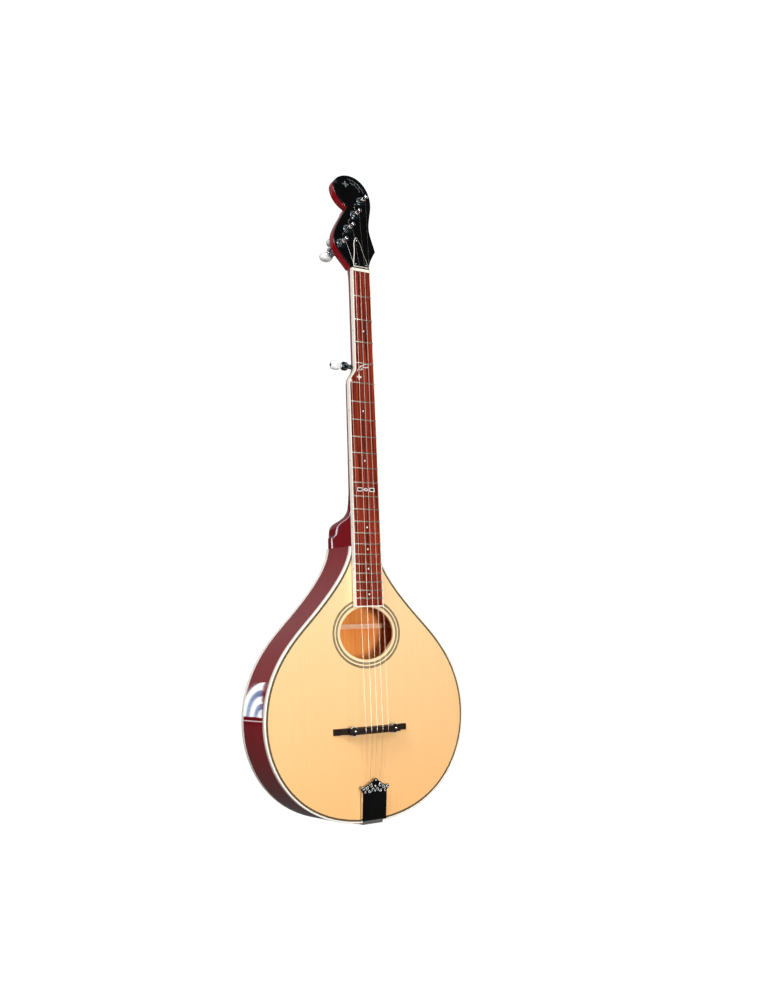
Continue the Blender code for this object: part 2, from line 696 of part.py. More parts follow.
def build_truss_rod(frame, board, head):
    depth = BOARD_THICKNESS + GAP + 4.3
    rod = [(0, 0), (ROD_RADIUS, 0), (ROD_RADIUS, -ROD_LENGTH), (0, -ROD_LENGTH)]
    turned("truss_rod", rod, board, STEEL, (ROD_X, depth, 7.5), (0, 0, 0), 10)
    hub = empty("truss_nut_axis", board, (ROD_X, depth, 0))
    turned("truss_rod_nut", [(0, 16.5), (3.9, 16.5), (4.0, 15.8), (4.0, 8.0), (0, 8.0)], hub, STEEL,
           steps=12)
    cover_anchors = (
        (None, (21.0, 3.0), (20.4, 14.0)),
        ((14.5, 25.0), (14.0, 38.0), (13.0, 46.0)),
        ((10.5, 50.0), (7.5, 53.0), (4.5, 50.0)),
        ((2.0, 46.0), (1.0, 38.0), (0.5, 25.0)),
        ((-5.4, 14.0), (-6.0, 3.0), None),
    )
    outline = bezier_points(cover_anchors, 4)
    drawn("truss_rod_cover", [outline], "front", -GAP - 1.5, -GAP, head, BLACK)


# ---- tuners --------------------------------------------------------------------------------------
def tuner_places():
    return [(TUNER_FIRST[0] + TUNER_STEP[0] * i, TUNER_FIRST[1] + TUNER_STEP[1] * i)
            for i in range(TUNER_COUNT)]


def paddle(name, parent, width, thickness, near, far, finish, rotation):
    """A pearl button: an oval that swells towards its outer end."""
    rows = ((near, 0.42), (near + 0.18 * (far - near), 0.80), (near + 0.5 * (far - near), 1.0),
            (near + 0.85 * (far - near), 0.90), (far, 0.62))
    sections = []
    for height, size in rows:
        oval = ellipse((0, 0), (width / 2 * size, thickness / 2 * size), 14)
        sections.append([(x, y, height) for x, y in oval])
    obj = loft(name, sections, parent, finish)
    obj.rotation_euler = rotation
    return obj


def build_tuners(head):
    """Rear-facing planetary tuners: a fixed housing, a string post in front and a button behind."""
    back = OVERLAY_THICKNESS + GAP + HEAD_THICKNESS
    end = back + HOUSING_LENGTH
    width, thickness, length = BUTTON_SIZE
    for number, (x, rise) in enumerate(tuner_places(), start=1):
        axis = empty(f"tuner_axis_{number}", head, (x, 0, rise))
        bore = POST_RADIUS + 0.35
        case = [(0, -(back + 0.6)), (bore, -(back + 0.6)), (bore, 2.2), (5.6, 2.2), (6.8, 1.2), (6.8, GAP),
                (TUNER_HOLE - GAP, GAP), (TUNER_HOLE - GAP, -(back + GAP)), (6.0, -(back + GAP)),
                (HOUSING_RADIUS, -(back + 2.0)), (HOUSING_RADIUS, -(back + 13.0)), (5.0, -(back + 16.5)),
                (3.2, -end), (0, -end)]
        turned(f"tuner_housing_{number}", case, axis, CHROME, rotation=FORWARD, steps=16)
        post = [(0, POST_TOP), (2.6, POST_TOP), (POST_RADIUS, POST_TOP - 1.2), (POST_RADIUS, POST_TOP - 3.5),
                (2.5, POST_TOP - 7.0), (2.7, POST_TOP - 9.5), (POST_RADIUS, 6.0), (POST_RADIUS, -back),
                (0, -back)]
        turned(f"tuner_post_{number}", post, axis, CHROME, rotation=FORWARD, steps=12)
        start = end + GAP
        paddle(f"tuner_button_{number}", axis, width, thickness, start, start + length, PEARL,
               BACKWARD)


def build_fifth_peg(frame):
    """The fifth string's geared peg, which stands out of the bass side of the neck."""
    z = SCALE_LENGTH - PEG_DISTANCE
    edge = -bass_edge(PEG_DISTANCE)
    axis = empty("fifth_peg_axis", frame, (0, PEG_DEPTH, z))
    post = [(3.9, edge + 10.0), (3.9, edge + 7.6), (3.2, edge + 6.2), (3.2, edge + 4.0), (3.9, edge + 2.2),
            (3.9, edge + 0.7), (2.1, edge + 0.7), (2.1, edge + 10.0)]
    turned("fifth_peg_post", post, axis, CHROME, rotation=BASSWARD, steps=14)
    case = [(0, edge + PEG_LENGTH), (3.0, edge + PEG_LENGTH), (4.4, edge + 19.5), (6.5, edge + 18.5),
            (6.5, edge + 11.3), (5.6, edge + 10.3), (1.7, edge + 10.3), (1.7, edge - 8.0), (0, edge - 8.0)]
    turned("fifth_peg_housing", case, axis, CHROME, rotation=BASSWARD, steps=14)
    button = edge + PEG_LENGTH + GAP
    width, thickness, length = PEG_BUTTON_SIZE
    paddle("fifth_peg_button", axis, width, thickness, button, button + length, PEARL, BASSWARD)
    return turned("peg_hole", [(0, edge + 5), (2.0, edge + 5), (2.0, edge - 9.0), (0, edge - 9.0)],
                  axis, None, rotation=BASSWARD, steps=12)


# ---- bridge --------------------------------------------------------------------------------------
def build_bridge(frame):
    """Base, two threaded posts, two thumbwheels and the saddle that rides up and down on them."""
    reach = BRIDGE_LENGTH / 2
    half = BRIDGE_WIDTH / 2
    low_z, high_z = BRIDGE_Z - half, BRIDGE_Z + half
    base_outline = [(-reach, -GAP), (reach, -GAP), (reach, -3.2), (reach - 16, -3.8), (reach - 19, -BASE_TOP),
                    (19 - reach, -BASE_TOP), (16 - reach, -3.8), (-reach, -3.2)]
    base = as_mesh(drawn("bridge_base", [base_outline], "plan", low_z, high_z, frame, EBONY))
    saddle_outline = [(-SADDLE_HALF, -SADDLE_BOTTOM), (SADDLE_HALF, -SADDLE_BOTTOM),
                      (SADDLE_HALF, -15.4), (33, -16.4),
                      (25, -SADDLE_TOP), (-25, -SADDLE_TOP), (-33, -16.4), (-SADDLE_HALF, -15.4)]
    saddle = as_mesh(drawn("bridge_saddle", [saddle_outline], "plan", low_z, high_z, frame, EBONY))
    for side, name in ((-1, "bass"), (1, "treble")):
        spot = (side * BRIDGE_POST_X, 0, BRIDGE_Z)
        hole = [(0, 30), (BRIDGE_HOLE_RADIUS, 30), (BRIDGE_HOLE_RADIUS, 2.2), (0, 2.2)]
        deep = turned("post_hole", hole, frame, None, spot, FORWARD, 12)
        base = cut(base, deep)
        saddle = cut(saddle, deep)
        post = [(0, 18.6), (BRIDGE_POST_RADIUS - 0.3, 18.6), (BRIDGE_POST_RADIUS, 18.2),
                (BRIDGE_POST_RADIUS, 2.5), (0, 2.5)]
        turned(f"bridge_post_{name}", post, frame, STEEL, spot, FORWARD, 10)
        axis = empty(f"wheel_axis_{name}", frame, spot)
        wheel = [(WHEEL_RADIUS - 0.4, WHEEL_TOP), (WHEEL_RADIUS, WHEEL_TOP - 0.4),
                 (WHEEL_RADIUS, WHEEL_BOTTOM + 0.4), (WHEEL_RADIUS - 0.4, WHEEL_BOTTOM),
                 (BRIDGE_HOLE_RADIUS, WHEEL_BOTTOM), (BRIDGE_HOLE_RADIUS, WHEEL_TOP)]
        turned(f"thumbwheel_{name}", wheel, axis, CHROME, rotation=FORWARD, steps=20)


# ---- tailpiece -----------------------------------------------------------------------------------
def build_tailpiece(frame, rims, tail_block):
    """A bent bracket with five string hooks, and the stamped cover that clips over it."""
    near = TAIL_END_Z - GAP
    outer = near - BRACKET_THICKNESS
    face = -GAP - BRACKET_THICKNESS
    bracket = [(-GAP, BRACKET_TOP_Z), (-GAP, near), (BRACKET_REACH, near), (BRACKET_REACH, outer),
               (face, outer), (face, BRACKET_TOP_Z)]
    base = as_mesh(drawn("tailpiece_base", [bracket], "side", -BRACKET_HALF, BRACKET_HALF, frame, CHROME))
    for x in STRING_AT_TAIL:
        hook = turned("hook", [(0, 3.6), (1.0, 3.6), (1.0, 1.0), (0, 1.0)], frame, CHROME,
                      (x, 0, HOOK_Z), FORWARD, 8)
        base = joined(base, hook)
    pierced = list(rims) + [tail_block]
    for name, x in TAIL_SCREW_X.items():
        spot = (x, TAIL_SCREW_DEPTH, outer)
        hole = turned("screw_hole", [(0, 4), (1.7, 4), (1.7, -17), (0, -17)], frame, None, spot, DOWNWARD, 8)
        base = cut(base, hole)
        pierced = [cut(piece, hole) for piece in pierced]
        head = [(0, 2.4), (1.8, 2.2), (3.2, 1.2), (3.4, 0.2)]
        shank = [(1.4, 0.2), (1.4, -14.0), (0, -14.0)]
        turned(f"tailpiece_screw_{name}", head + shank, frame, STEEL, spot, DOWNWARD, 10)

    cover_foot = empty("cover_frame", frame, (0, -5.2, -124.0), (COVER_TILT, 0, 0))
    inner = COVER_HALF - COVER_THICKNESS
    shell = [(-COVER_HALF, 0.0), (-COVER_HALF, COVER_FLANGE), (-inner, COVER_FLANGE),
             (-inner, COVER_THICKNESS), (inner, COVER_THICKNESS), (inner, COVER_FLANGE),
             (COVER_HALF, COVER_FLANGE), (COVER_HALF, 0.0)]
    cover = as_mesh(drawn("tailpiece_cover", [shell], "plan", 0.0, COVER_LENGTH, cover_foot, CHROME))
    crest_frame = empty("crest_frame", cover_foot, (0, 0, COVER_LENGTH), (math.radians(5), 0, 0))
    crest = as_mesh(drawn("crest", [crest_outline()], "front", -0.1, 0.8, crest_frame, CHROME))
    joined(cover, crest)
    plate_half = COVER_HALF - 1.6
    drawn("tailpiece_cover_plate", [rectangle(-plate_half, plate_half, 1.0, COVER_LENGTH - 2.5)], "front",
          -GAP - 0.7, -GAP, cover_foot, BLACK)


def crest_outline():
    """The cover's scalloped upper edge: a pointed middle and a curl at each side."""
    right = [(19.0, -1.5), (20.5, 1.0), (24.0, 4.2), (24.6, 7.0), (22.6, 9.2), (19.6, 8.8), (17.2, 7.6),
             (14.2, 10.4), (11.0, 11.0), (8.6, 14.0), (5.2, 14.6), (2.8, 18.0)]
    return right + [(0.0, 19.6)] + mirrored(right)


# ---- strings -------------------------------------------------------------------------------------
def head_point(x, height, rise):
    """A point above the headstock's face, in the body's frame."""
    up = Vector((0, math.sin(HEAD_TILT), math.cos(HEAD_TILT)))
    out = Vector((0, -math.cos(HEAD_TILT), math.sin(HEAD_TILT)))
    return Vector(HEAD_ORIGIN) + up * rise + out * height + Vector((x, 0, 0))


def string_path(index):
    tail = Vector((STRING_AT_TAIL[index], -2.6, HOOK_Z + 1.6))
    half = Vector((0, 0, BRIDGE_WIDTH / 2 + GAP))
    saddle = Vector((STRING_AT_BRIDGE[index], -STRING_OVER_SADDLE, BRIDGE_Z))
    start = [tail, saddle - half, saddle + half]
    if index == 0:
        pip = Vector((PIP_X, -8.8, SCALE_LENGTH - PIP_DISTANCE))
        post = Vector((-20.2, PEG_DEPTH - 3.9 - GAP - STRING_RADII[0], SCALE_LENGTH - PEG_DISTANCE))
        return start + [pip, post]
    nut = Vector((STRING_AT_NUT[index], -STRING_OVER_NUT, SCALE_LENGTH + 2.6))
    x, rise = tuner_places()[index - 1]
    beside = POST_RADIUS + GAP + STRING_RADII[index]
    return start + [nut, head_point(x + beside, POST_TOP - 8.0, rise)]


def build_strings(frame):
    for index in range(STRING_COUNT):
        name = f"string_{STRING_COUNT - index}"
        path = string_path(index)
        curve = bpy.data.curves.new(name, "CURVE")
        curve.dimensions = "3D"
        curve.bevel_depth = STRING_RADII[index] * MM
        curve.bevel_resolution = 2
        curve.use_fill_caps = True
        spline = curve.splines.new("POLY")
        spline.points.add(len(path) - 1)
        for point, place_at in zip(spline.points, path):
            point.co = (*(place_at * MM), 1.0)
        place(name, curve, frame, STEEL)


# ---- the whole instrument ------------------------------------------------------------------------
def build():
    frame = empty("body_frame", None, (0, 0, -HANGER_HEIGHT))
    board = empty("board_frame", frame, (0, BOARD_FACE_AT_NUT, SCALE_LENGTH), (-BOARD_TILT, 0, 0))
    head = empty("head_frame", frame, HEAD_ORIGIN, (-HEAD_TILT, 0, 0))
    build_plates(frame)
    build_edges(frame)
    rims = build_rims(frame)
    build_linings(frame)
    tail_block = build_blocks(frame)
    build_braces(frame)
    peg_hole = build_fifth_peg(frame)
    neck = build_neck(frame, board, head)
    cut(neck, peg_hole)
    build_board(board)
    build_nuts(frame, board)
    build_overlay(head)
    build_truss_rod(frame, board, head)
    build_tuners(head)
    build_bridge(frame)
    build_tailpiece(frame, rims, tail_block)
    build_strings(frame)


clear_scene()
PARTS = new_collection(OBJECT_NAME)
CUTTERS = new_collection("cutters")
build()
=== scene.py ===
"""Looks of the five-string teardrop bouzouki: fine meshes, materials, lights and camera.

Sizes are in millimetres in three local frames: the body's (X to the treble side, Y back into the body,
Z up the neck, measured from the bridge line), the fretboard's and the headstock's.
"""
import math

import bmesh
import bpy
from mathutils import Matrix, Vector
from mathutils.geometry import interpolate_bezier, tessellate_polygon


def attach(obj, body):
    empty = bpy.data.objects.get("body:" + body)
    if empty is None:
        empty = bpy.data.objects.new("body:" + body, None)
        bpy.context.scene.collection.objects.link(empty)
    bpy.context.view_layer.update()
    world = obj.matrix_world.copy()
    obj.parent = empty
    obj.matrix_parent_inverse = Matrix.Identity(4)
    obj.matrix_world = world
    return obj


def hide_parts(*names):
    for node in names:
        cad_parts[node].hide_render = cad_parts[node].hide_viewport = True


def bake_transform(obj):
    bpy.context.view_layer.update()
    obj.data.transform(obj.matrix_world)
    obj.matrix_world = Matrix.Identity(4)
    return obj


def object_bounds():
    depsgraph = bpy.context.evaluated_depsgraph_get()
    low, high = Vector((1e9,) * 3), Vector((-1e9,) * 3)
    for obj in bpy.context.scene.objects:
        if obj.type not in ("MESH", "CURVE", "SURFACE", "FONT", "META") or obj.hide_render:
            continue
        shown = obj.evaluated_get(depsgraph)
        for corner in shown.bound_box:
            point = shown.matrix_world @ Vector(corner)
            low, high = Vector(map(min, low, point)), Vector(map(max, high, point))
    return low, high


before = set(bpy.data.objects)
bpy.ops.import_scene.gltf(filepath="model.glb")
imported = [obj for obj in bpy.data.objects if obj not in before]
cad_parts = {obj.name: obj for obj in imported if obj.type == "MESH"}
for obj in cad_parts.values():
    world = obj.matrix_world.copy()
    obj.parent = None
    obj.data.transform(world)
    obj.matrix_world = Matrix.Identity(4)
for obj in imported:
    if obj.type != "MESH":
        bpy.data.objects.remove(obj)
cad_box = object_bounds()

MM = 0.001

# ---- driving dimensions (mm), the CAD model's but for PURFLING_END and STRING_RADII ----------------
HANGER_HEIGHT = 685.0
SCALE_LENGTH = 667.0
BODY_DEPTH = 63.0
NECK_JOINT_Z = 262.0
BODY_ANCHORS = (
    (None, (0, -127.6), (122, -127.6)),
    ((172, -48), (172, 18), (172, 90)),
    ((125, 132), (99, 157), (57, 197)),
    ((26, 233), (24, NECK_JOINT_Z), None),
)
BINDING_WIDTH = 2.6
BINDING_HEIGHT = 6.0
PURFLING_END = 5.3
SOUND_HOLE_Z = 137.5
SOUND_HOLE_HALF = (46.5, 37.4)

BOARD_TILT = math.radians(0.53)
BOARD_FACE_AT_NUT = -4.67
BOARD_THICKNESS = 6.5
BOARD_LENGTH = 492.0
BOARD_HALF = (22.0, 24.2)
BOARD_BINDING = 1.5
NUT_INSET = 11.5
STEP_START = 145.0
STEP_END = 168.0
FRET_COUNT = 22

HEAD_TILT = math.radians(14)
HEAD_ORIGIN = (0.0, -1.7, 672.0)
OVERLAY_THICKNESS = 2.0
HEAD_BACK = 14.3
HEAD_ANCHORS = (
    (None, (22.3, 1), (22.6, 11)),
    ((33, 25), (40, 34), (39, 44)),
    ((36.2, 56), (36, 68), (36, 86)),
    ((49, 106), (49, 124), (49, 147)),
    ((36, 162), (17, 162), (0, 162)),
    ((-15, 151), (-15, 138), (-15, 123)),
    ((-7, 113), (3, 107), (-5, 92)),
    ((-32, 64), (-32, 44), (-32, 27)),
    ((-18, 14), (-10.5, 1), None),
)
TUNER_FIRST = (-21.0, 38.5)
TUNER_STEP = (17.2, 26.9)
POST_RADIUS = 3.2
POST_TOP = 17.0

BRIDGE_Z = 1.7
BRIDGE_HALF = 62.5
BRIDGE_WIDTH = 9.0
BRIDGE_POST_X = 35.0
STRING_AT_BRIDGE = (-19.5, -9.75, 0.0, 9.75, 19.5)
STRING_AT_NUT = (None, -6.8, 1.6, 10.0, 18.4)
STRING_AT_TAIL = (-12.0, -6.0, 0.0, 6.0, 12.0)
STRING_RADII = (0.21, 0.29, 0.26, 0.23, 0.21)
STRING_OVER_NUT = 6.7
STRING_OVER_SADDLE = 19.05
HOOK_Z = -108.0
PEG_Z = 524.0
PEG_DEPTH = 2.6
PIP_PLACE = (-20.4, -164.6)
COVER_TILT = math.radians(5)
COVER_HALF = 20.65
COVER_LENGTH = 40.0

BODY = Matrix.Translation((0, 0, -HANGER_HEIGHT * MM))
BOARD = BODY @ Matrix.Translation(Vector((0, BOARD_FACE_AT_NUT, SCALE_LENGTH)) * MM) \
    @ Matrix.Rotation(-BOARD_TILT, 4, "X")
HEAD = BODY @ Matrix.Translation(Vector(HEAD_ORIGIN) * MM) @ Matrix.Rotation(-HEAD_TILT, 4, "X")
COVER = BODY @ Matrix.Translation(Vector((0, -5.2, -124.0)) * MM) @ Matrix.Rotation(COVER_TILT, 4, "X")
CREST = COVER @ Matrix.Translation(Vector((0, 0, COVER_LENGTH)) * MM) \
    @ Matrix.Rotation(math.radians(5), 4, "X")
FORWARD = Matrix.Rotation(math.pi / 2, 4, "X")          # local +Z points out of the face
BACKWARD = Matrix.Rotation(-math.pi / 2, 4, "X")
BASSWARD = Matrix.Rotation(-math.pi / 2, 4, "Y")


def at(parent, x, y, z):
    return parent @ Matrix.Translation(Vector((x, y, z)) * MM)


# ---- materials -------------------------------------------------------------------------------------
def surface(name, dark, light, stretch, roughness, metallic=0.0, coat=0.0, bump=0.0, detail=6.0,
            spread=(0.35, 0.65), twist=0.0, fine=(900, 900, 900), specular=0.5):
    """A material whose colour varies along stretched noise, with fine relief and uneven roughness."""
    material = bpy.data.materials.new(name)
    material.use_nodes = True
    tree = material.node_tree
    shader = tree.nodes["Principled BSDF"]
    shader.inputs["Metallic"].default_value = metallic
    shader.inputs["Coat Weight"].default_value = coat
    shader.inputs["Coat Roughness"].default_value = 0.04
    shader.inputs["Specular IOR Level"].default_value = specular
    place = tree.nodes.new("ShaderNodeTexCoord")

    def noise_at(scale, octaves):
        mapping = tree.nodes.new("ShaderNodeMapping")
        mapping.inputs["Scale"].default_value = scale
        tree.links.new(place.outputs["Object"], mapping.inputs["Vector"])
        noise = tree.nodes.new("ShaderNodeTexNoise")
        noise.inputs["Scale"].default_value = 1.0
        noise.inputs["Detail"].default_value = octaves
        noise.inputs["Distortion"].default_value = twist
        tree.links.new(mapping.outputs["Vector"], noise.inputs["Vector"])
        return noise.outputs["Fac"]

    grain = noise_at(stretch, detail)
    ramp = tree.nodes.new("ShaderNodeValToRGB")
    for element, position, colour in zip(ramp.color_ramp.elements, spread, (dark, light)):
        element.position = position
        element.color = (*colour, 1.0)
    tree.links.new(grain, ramp.inputs["Fac"])
    tree.links.new(ramp.outputs["Color"], shader.inputs["Base Color"])

    relief = noise_at(fine, 3.0)
    polish = tree.nodes.new("ShaderNodeMapRange")
    polish.inputs["To Min"].default_value = roughness[0]
    polish.inputs["To Max"].default_value = roughness[1]
    tree.links.new(relief, polish.inputs["Value"])
    tree.links.new(polish.outputs["Result"], shader.inputs["Roughness"])
    if bump:
        lift = tree.nodes.new("ShaderNodeBump")
        lift.inputs["Strength"].default_value = 0.5
        lift.inputs["Distance"].default_value = bump * MM
        tree.links.new(relief, lift.inputs["Height"])
        tree.links.new(lift.outputs["Normal"], shader.inputs["Normal"])
    return material


def toner_and_painted_light(material, top, bottom, low_z, high_z):
    """Shift a wood's colour gently from its lower end to its upper end: partly sprayed toner, partly painted
    light, paler at the upper end as if lit more and darker, more orange at the lower end as if shaded.
    """
    tree = material.node_tree
    shader = tree.nodes["Principled BSDF"]
    colour = shader.inputs["Base Color"].links[0].from_socket
    place = tree.nodes.new("ShaderNodeTexCoord")
    split = tree.nodes.new("ShaderNodeSeparateXYZ")
    height = tree.nodes.new("ShaderNodeMapRange")
    height.inputs["From Min"].default_value = low_z
    height.inputs["From Max"].default_value = high_z
    tone = tree.nodes.new("ShaderNodeValToRGB")
    tone.color_ramp.elements[0].color = (*bottom, 1.0)
    tone.color_ramp.elements[1].color = (*top, 1.0)
    mix = tree.nodes.new("ShaderNodeMix")
    mix.data_type = "RGBA"
    mix.blend_type = "MULTIPLY"
    mix.inputs["Factor"].default_value = 1.0
    tree.links.new(place.outputs["Object"], split.inputs["Vector"])
    tree.links.new(split.outputs["Z"], height.inputs["Value"])
    tree.links.new(height.outputs["Result"], tone.inputs["Fac"])
    tree.links.new(colour, mix.inputs["A"])
    tree.links.new(tone.outputs["Color"], mix.inputs["B"])
    tree.links.new(mix.outputs["Result"], shader.inputs["Base Color"])
    return material


# The top is paler towards its upper end and darker, more orange towards its lower end: partly toner, partly
# painted light.
SPRUCE = toner_and_painted_light(surface("spruce_under_lacquer", (0.93, 0.62, 0.30), (0.97, 0.655, 0.33), (520, 30, 4),
                       (0.24, 0.34), coat=0.25, bump=0.004, spread=(0.3, 0.7), fine=(1400, 60, 30)),
               (1.0, 1.06, 1.14), (1.0, 0.82, 0.64), -0.82, -0.48)
INNER_WOOD = surface("bare_mahogany", (0.80, 0.26, 0.045), (0.94, 0.36, 0.075), (160, 60, 8), (0.5, 0.7),
                     bump=0.02, fine=(900, 300, 60))
BRACE_WOOD = surface("bare_spruce", (0.86, 0.48, 0.26), (0.95, 0.60, 0.36), (60, 300, 300), (0.5, 0.7),
                     bump=0.03)
CHERRY = surface("cherry_lacquer", (0.215, 0.003, 0.007), (0.245, 0.004, 0.008), (60, 60, 5),
                 (0.02, 0.03), coat=0.4, fine=(200, 200, 30))
ROSEWOOD = surface("oiled_rosewood", (0.045, 0.004, 0.002), (0.31, 0.034, 0.011), (520, 420, 8),
                   (0.4, 0.6), bump=0.02, spread=(0.40, 0.60), twist=0.4, fine=(1500, 1500, 90),
                   specular=0.15)
EBONY = surface("ebony", (0.006, 0.004, 0.003), (0.028, 0.016, 0.011), (40, 300, 300), (0.3, 0.45),
                bump=0.01, fine=(120, 1500, 1500), specular=0.3)
CREAM = surface("cream_binding", (0.92, 0.85, 0.74), (0.98, 0.93, 0.85), (60, 60, 25), (0.2, 0.3),
                coat=0.2, bump=0.002)
ROPE = surface("rope_purfling", (0.030, 0.022, 0.014), (0.24, 0.185, 0.11), (900, 900, 900), (0.3, 0.4),
               detail=1.0, spread=(0.44, 0.60), specular=0.3)
PALE_LINE = surface("maple_line", (0.92, 0.70, 0.40), (0.97, 0.77, 0.46), (300, 300, 60), (0.3, 0.4),
                    coat=0.2)
BLACK = surface("black_lacquer", (0.0008, 0.0008, 0.0008), (0.002, 0.002, 0.002), (40, 40, 20),
                (0.06, 0.10), specular=0.3)
CHROME = surface("chrome", (0.62, 0.65, 0.68), (0.86, 0.88, 0.90), (160, 160, 160), (0.05, 0.16),
                 metallic=1.0, bump=0.003)
DARK_CHROME = surface("dark_nickel", (0.06, 0.085, 0.095), (0.20, 0.25, 0.27), (300, 300, 300),
                      (0.10, 0.22), metallic=1.0, bump=0.004)
SILVER = surface("frosted_silver", (0.70, 0.72, 0.74), (0.96, 0.97, 0.98), (300, 300, 300), (0.3, 0.45),
                 metallic=0.45, bump=0.003)
STEEL = surface("plain_steel", (0.34, 0.335, 0.33), (0.52, 0.51, 0.50), (500, 500, 80), (0.2, 0.34),
                metallic=1.0, bump=0.006)
FRET_WIRE = surface("fret_wire", (0.72, 0.66, 0.52), (0.92, 0.87, 0.74), (40, 400, 400), (0.18, 0.3),
                    metallic=0.85)
STRING_WIRE = surface("string_wire", (0.64, 0.48, 0.42), (0.84, 0.69, 0.63), (900, 900, 1500),
                      (0.25, 0.4), metallic=0.4)
DULL_WIRE = surface("dull_wire", (0.38, 0.28, 0.20), (0.62, 0.48, 0.36), (900, 900, 1500), (0.3, 0.45),
                    metallic=0.7)
PEARL = surface("pearloid", (0.66, 0.68, 0.69), (0.95, 0.95, 0.93), (170, 170, 170), (0.10, 0.2),
                coat=0.6, twist=2.5, spread=(0.36, 0.56), bump=0.002)
GREY_PEARL = surface("grey_pearl", (0.045, 0.055, 0.060), (0.17, 0.20, 0.21), (260, 260, 260),
                     (0.15, 0.25), twist=2.0, spread=(0.36, 0.60))
BONE = surface("bone", (0.86, 0.80, 0.66), (0.94, 0.90, 0.79), (200, 200, 60), (0.25, 0.38), bump=0.005)


# ---- mesh tools ------------------------------------------------------------------------------------
def make_piece(name, work, matrix, material, body="instrument", replaces=(), angle=40):
    """Turn millimetre geometry in a local frame into a piece that rides on a body."""
    bmesh.ops.recalc_face_normals(work, faces=work.faces)
    bmesh.ops.scale(work, vec=(MM, MM, MM), verts=work.verts)
    bmesh.ops.transform(work, matrix=matrix, verts=work.verts)
    mesh = bpy.data.meshes.new(name)
    work.to_mesh(mesh)
    work.free()
    mesh.set_sharp_from_angle(angle=math.radians(angle))
    mesh.materials.append(material)
    piece = bpy.data.objects.new(name, mesh)
    bpy.context.scene.collection.objects.link(piece)
    if body:
        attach(piece, body)
    if replaces:
        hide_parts(*replaces)
    return piece


def moved_outline(outline, margin):
    """A closed outline grown by a margin, or shrunk by a negative one."""
    points = [Vector(p) for p in outline]
    following = points[1:] + points[:1]
    area = sum(a.cross(b) for a, b in zip(points, following))
    turn = math.copysign(1.0, area) * margin
    result = []
    for before, here, after in zip(points[-1:] + points[:-1], points, following):
        arriving = (here - before).normalized()
        leaving = (after - here).normalized()
        side = Vector((arriving.y + leaving.y, -arriving.x - leaving.x))
        result.append(here + side * turn / max(1 + arriving.dot(leaving), 0.4))
    return result


def add_slab(work, outlines, low, high, edge=0.0, steps=3):
    """A plate in X and Z, thick along Y, with rounded edges; the outlines after the first are holes."""
    levels = [(0.0, low), (0.0, high)]
    if edge:
        arc = [(edge * (1 - math.sin(a)), edge * (1 - math.cos(a)))
               for a in (math.pi / 2 * k / steps for k in range(steps + 1))]
        levels = [(shrink, low + rise) for shrink, rise in arc]
        levels += [(shrink, high - rise) for shrink, rise in reversed(arc)]
    caps = ([], [])
    for index, outline in enumerate(outlines):
        sign = -1 if index == 0 else 1
        rings = []
        for shrink, y in levels:
            loop = moved_outline(outline, sign * shrink) if shrink else [Vector(p) for p in outline]
            rings.append([work.verts.new((p.x, y, p.y)) for p in loop])
        for lower, upper in zip(rings, rings[1:]):
            for i in range(len(lower)):
                j = (i + 1) % len(lower)
                face = work.faces.new((lower[i], lower[j], upper[j], upper[i]))
                face.smooth = True
        caps[0].append(rings[0])
        caps[1].append(rings[-1])
    for loops in caps:
        verts = [v for loop in loops for v in loop]
        flat = [[Vector((v.co.x, v.co.z, 0)) for v in loop] for loop in loops]
        for triangle in tessellate_polygon(flat):
            work.faces.new([verts[i] for i in triangle])


def add_lathe(work, profile, steps=40, matrix=Matrix.Identity(4), closed=False, wave=None):
    """A turned shape around Z; profile is (radius, height). wave(angle) scales the radius."""
    rings = []
    for radius, height in profile:
        count = 1 if radius == 0 else steps
        ring = []
        for i in range(count):
            a = 2 * math.pi * i / steps
            r = radius * (wave(a) if wave else 1.0)
            ring.append(work.verts.new(matrix @ Vector((r * math.cos(a), r * math.sin(a), height))))
        rings.append(ring)
    pairs = list(zip(rings, rings[1:])) + ([(rings[-1], rings[0])] if closed else [])
    for lower, upper in pairs:
        for i in range(steps):
            j = (i + 1) % steps
            corners = [lower[i % len(lower)], lower[j % len(lower)], upper[j % len(upper)],
                       upper[i % len(upper)]]
            unique = list(dict.fromkeys(corners))
            if len(unique) > 2:
                work.faces.new(unique).smooth = True


def add_loft(work, sections):
    rows = [[work.verts.new(p) for p in section] for section in sections]
    count = len(rows[0])
    for lower, upper in zip(rows, rows[1:]):
        for i in range(count):
            j = (i + 1) % count
            work.faces.new((lower[i], lower[j], upper[j], upper[i])).smooth = True
    for row in (rows[0], rows[-1]):
        work.faces.new(row)


def add_tube(work, path, radius, sides=10):
    """A round wire along a path; radius may be a list with one entry for each point."""
    path = [Vector(p) for p in path]
    radii = radius if isinstance(radius, (list, tuple)) else [radius] * len(path)
    side = (path[1] - path[0]).orthogonal().normalized()
    sections = []
    for i, point in enumerate(path):
        along = (path[min(i + 1, len(path) - 1)] - path[max(i - 1, 0)]).normalized()
        side = (side - along * side.dot(along)).normalized()
        other = along.cross(side)
        ring = [point + (side * math.cos(a) + other * math.sin(a)) * radii[i]
                for a in (2 * math.pi * k / sides for k in range(sides))]
        sections.append(ring)
    add_loft(work, sections)


def slab_piece(name, outlines, low, high, matrix, material, edge=0.0, **kwargs):
    work = bmesh.new()
    add_slab(work, outlines, low, high, edge)
    return make_piece(name, work, matrix, material, **kwargs)


def lathe_piece(name, profile, matrix, material, steps=40, closed=False, wave=None, **kwargs):
    work = bmesh.new()
    add_lathe(work, profile, steps, closed=closed, wave=wave)
    return make_piece(name, work, matrix, material, **kwargs)


def tube_piece(name, path, radius, matrix, material, sides=10, **kwargs):
    work = bmesh.new()
    add_tube(work, path, radius, sides)
    return make_piece(name, work, matrix, material, **kwargs)


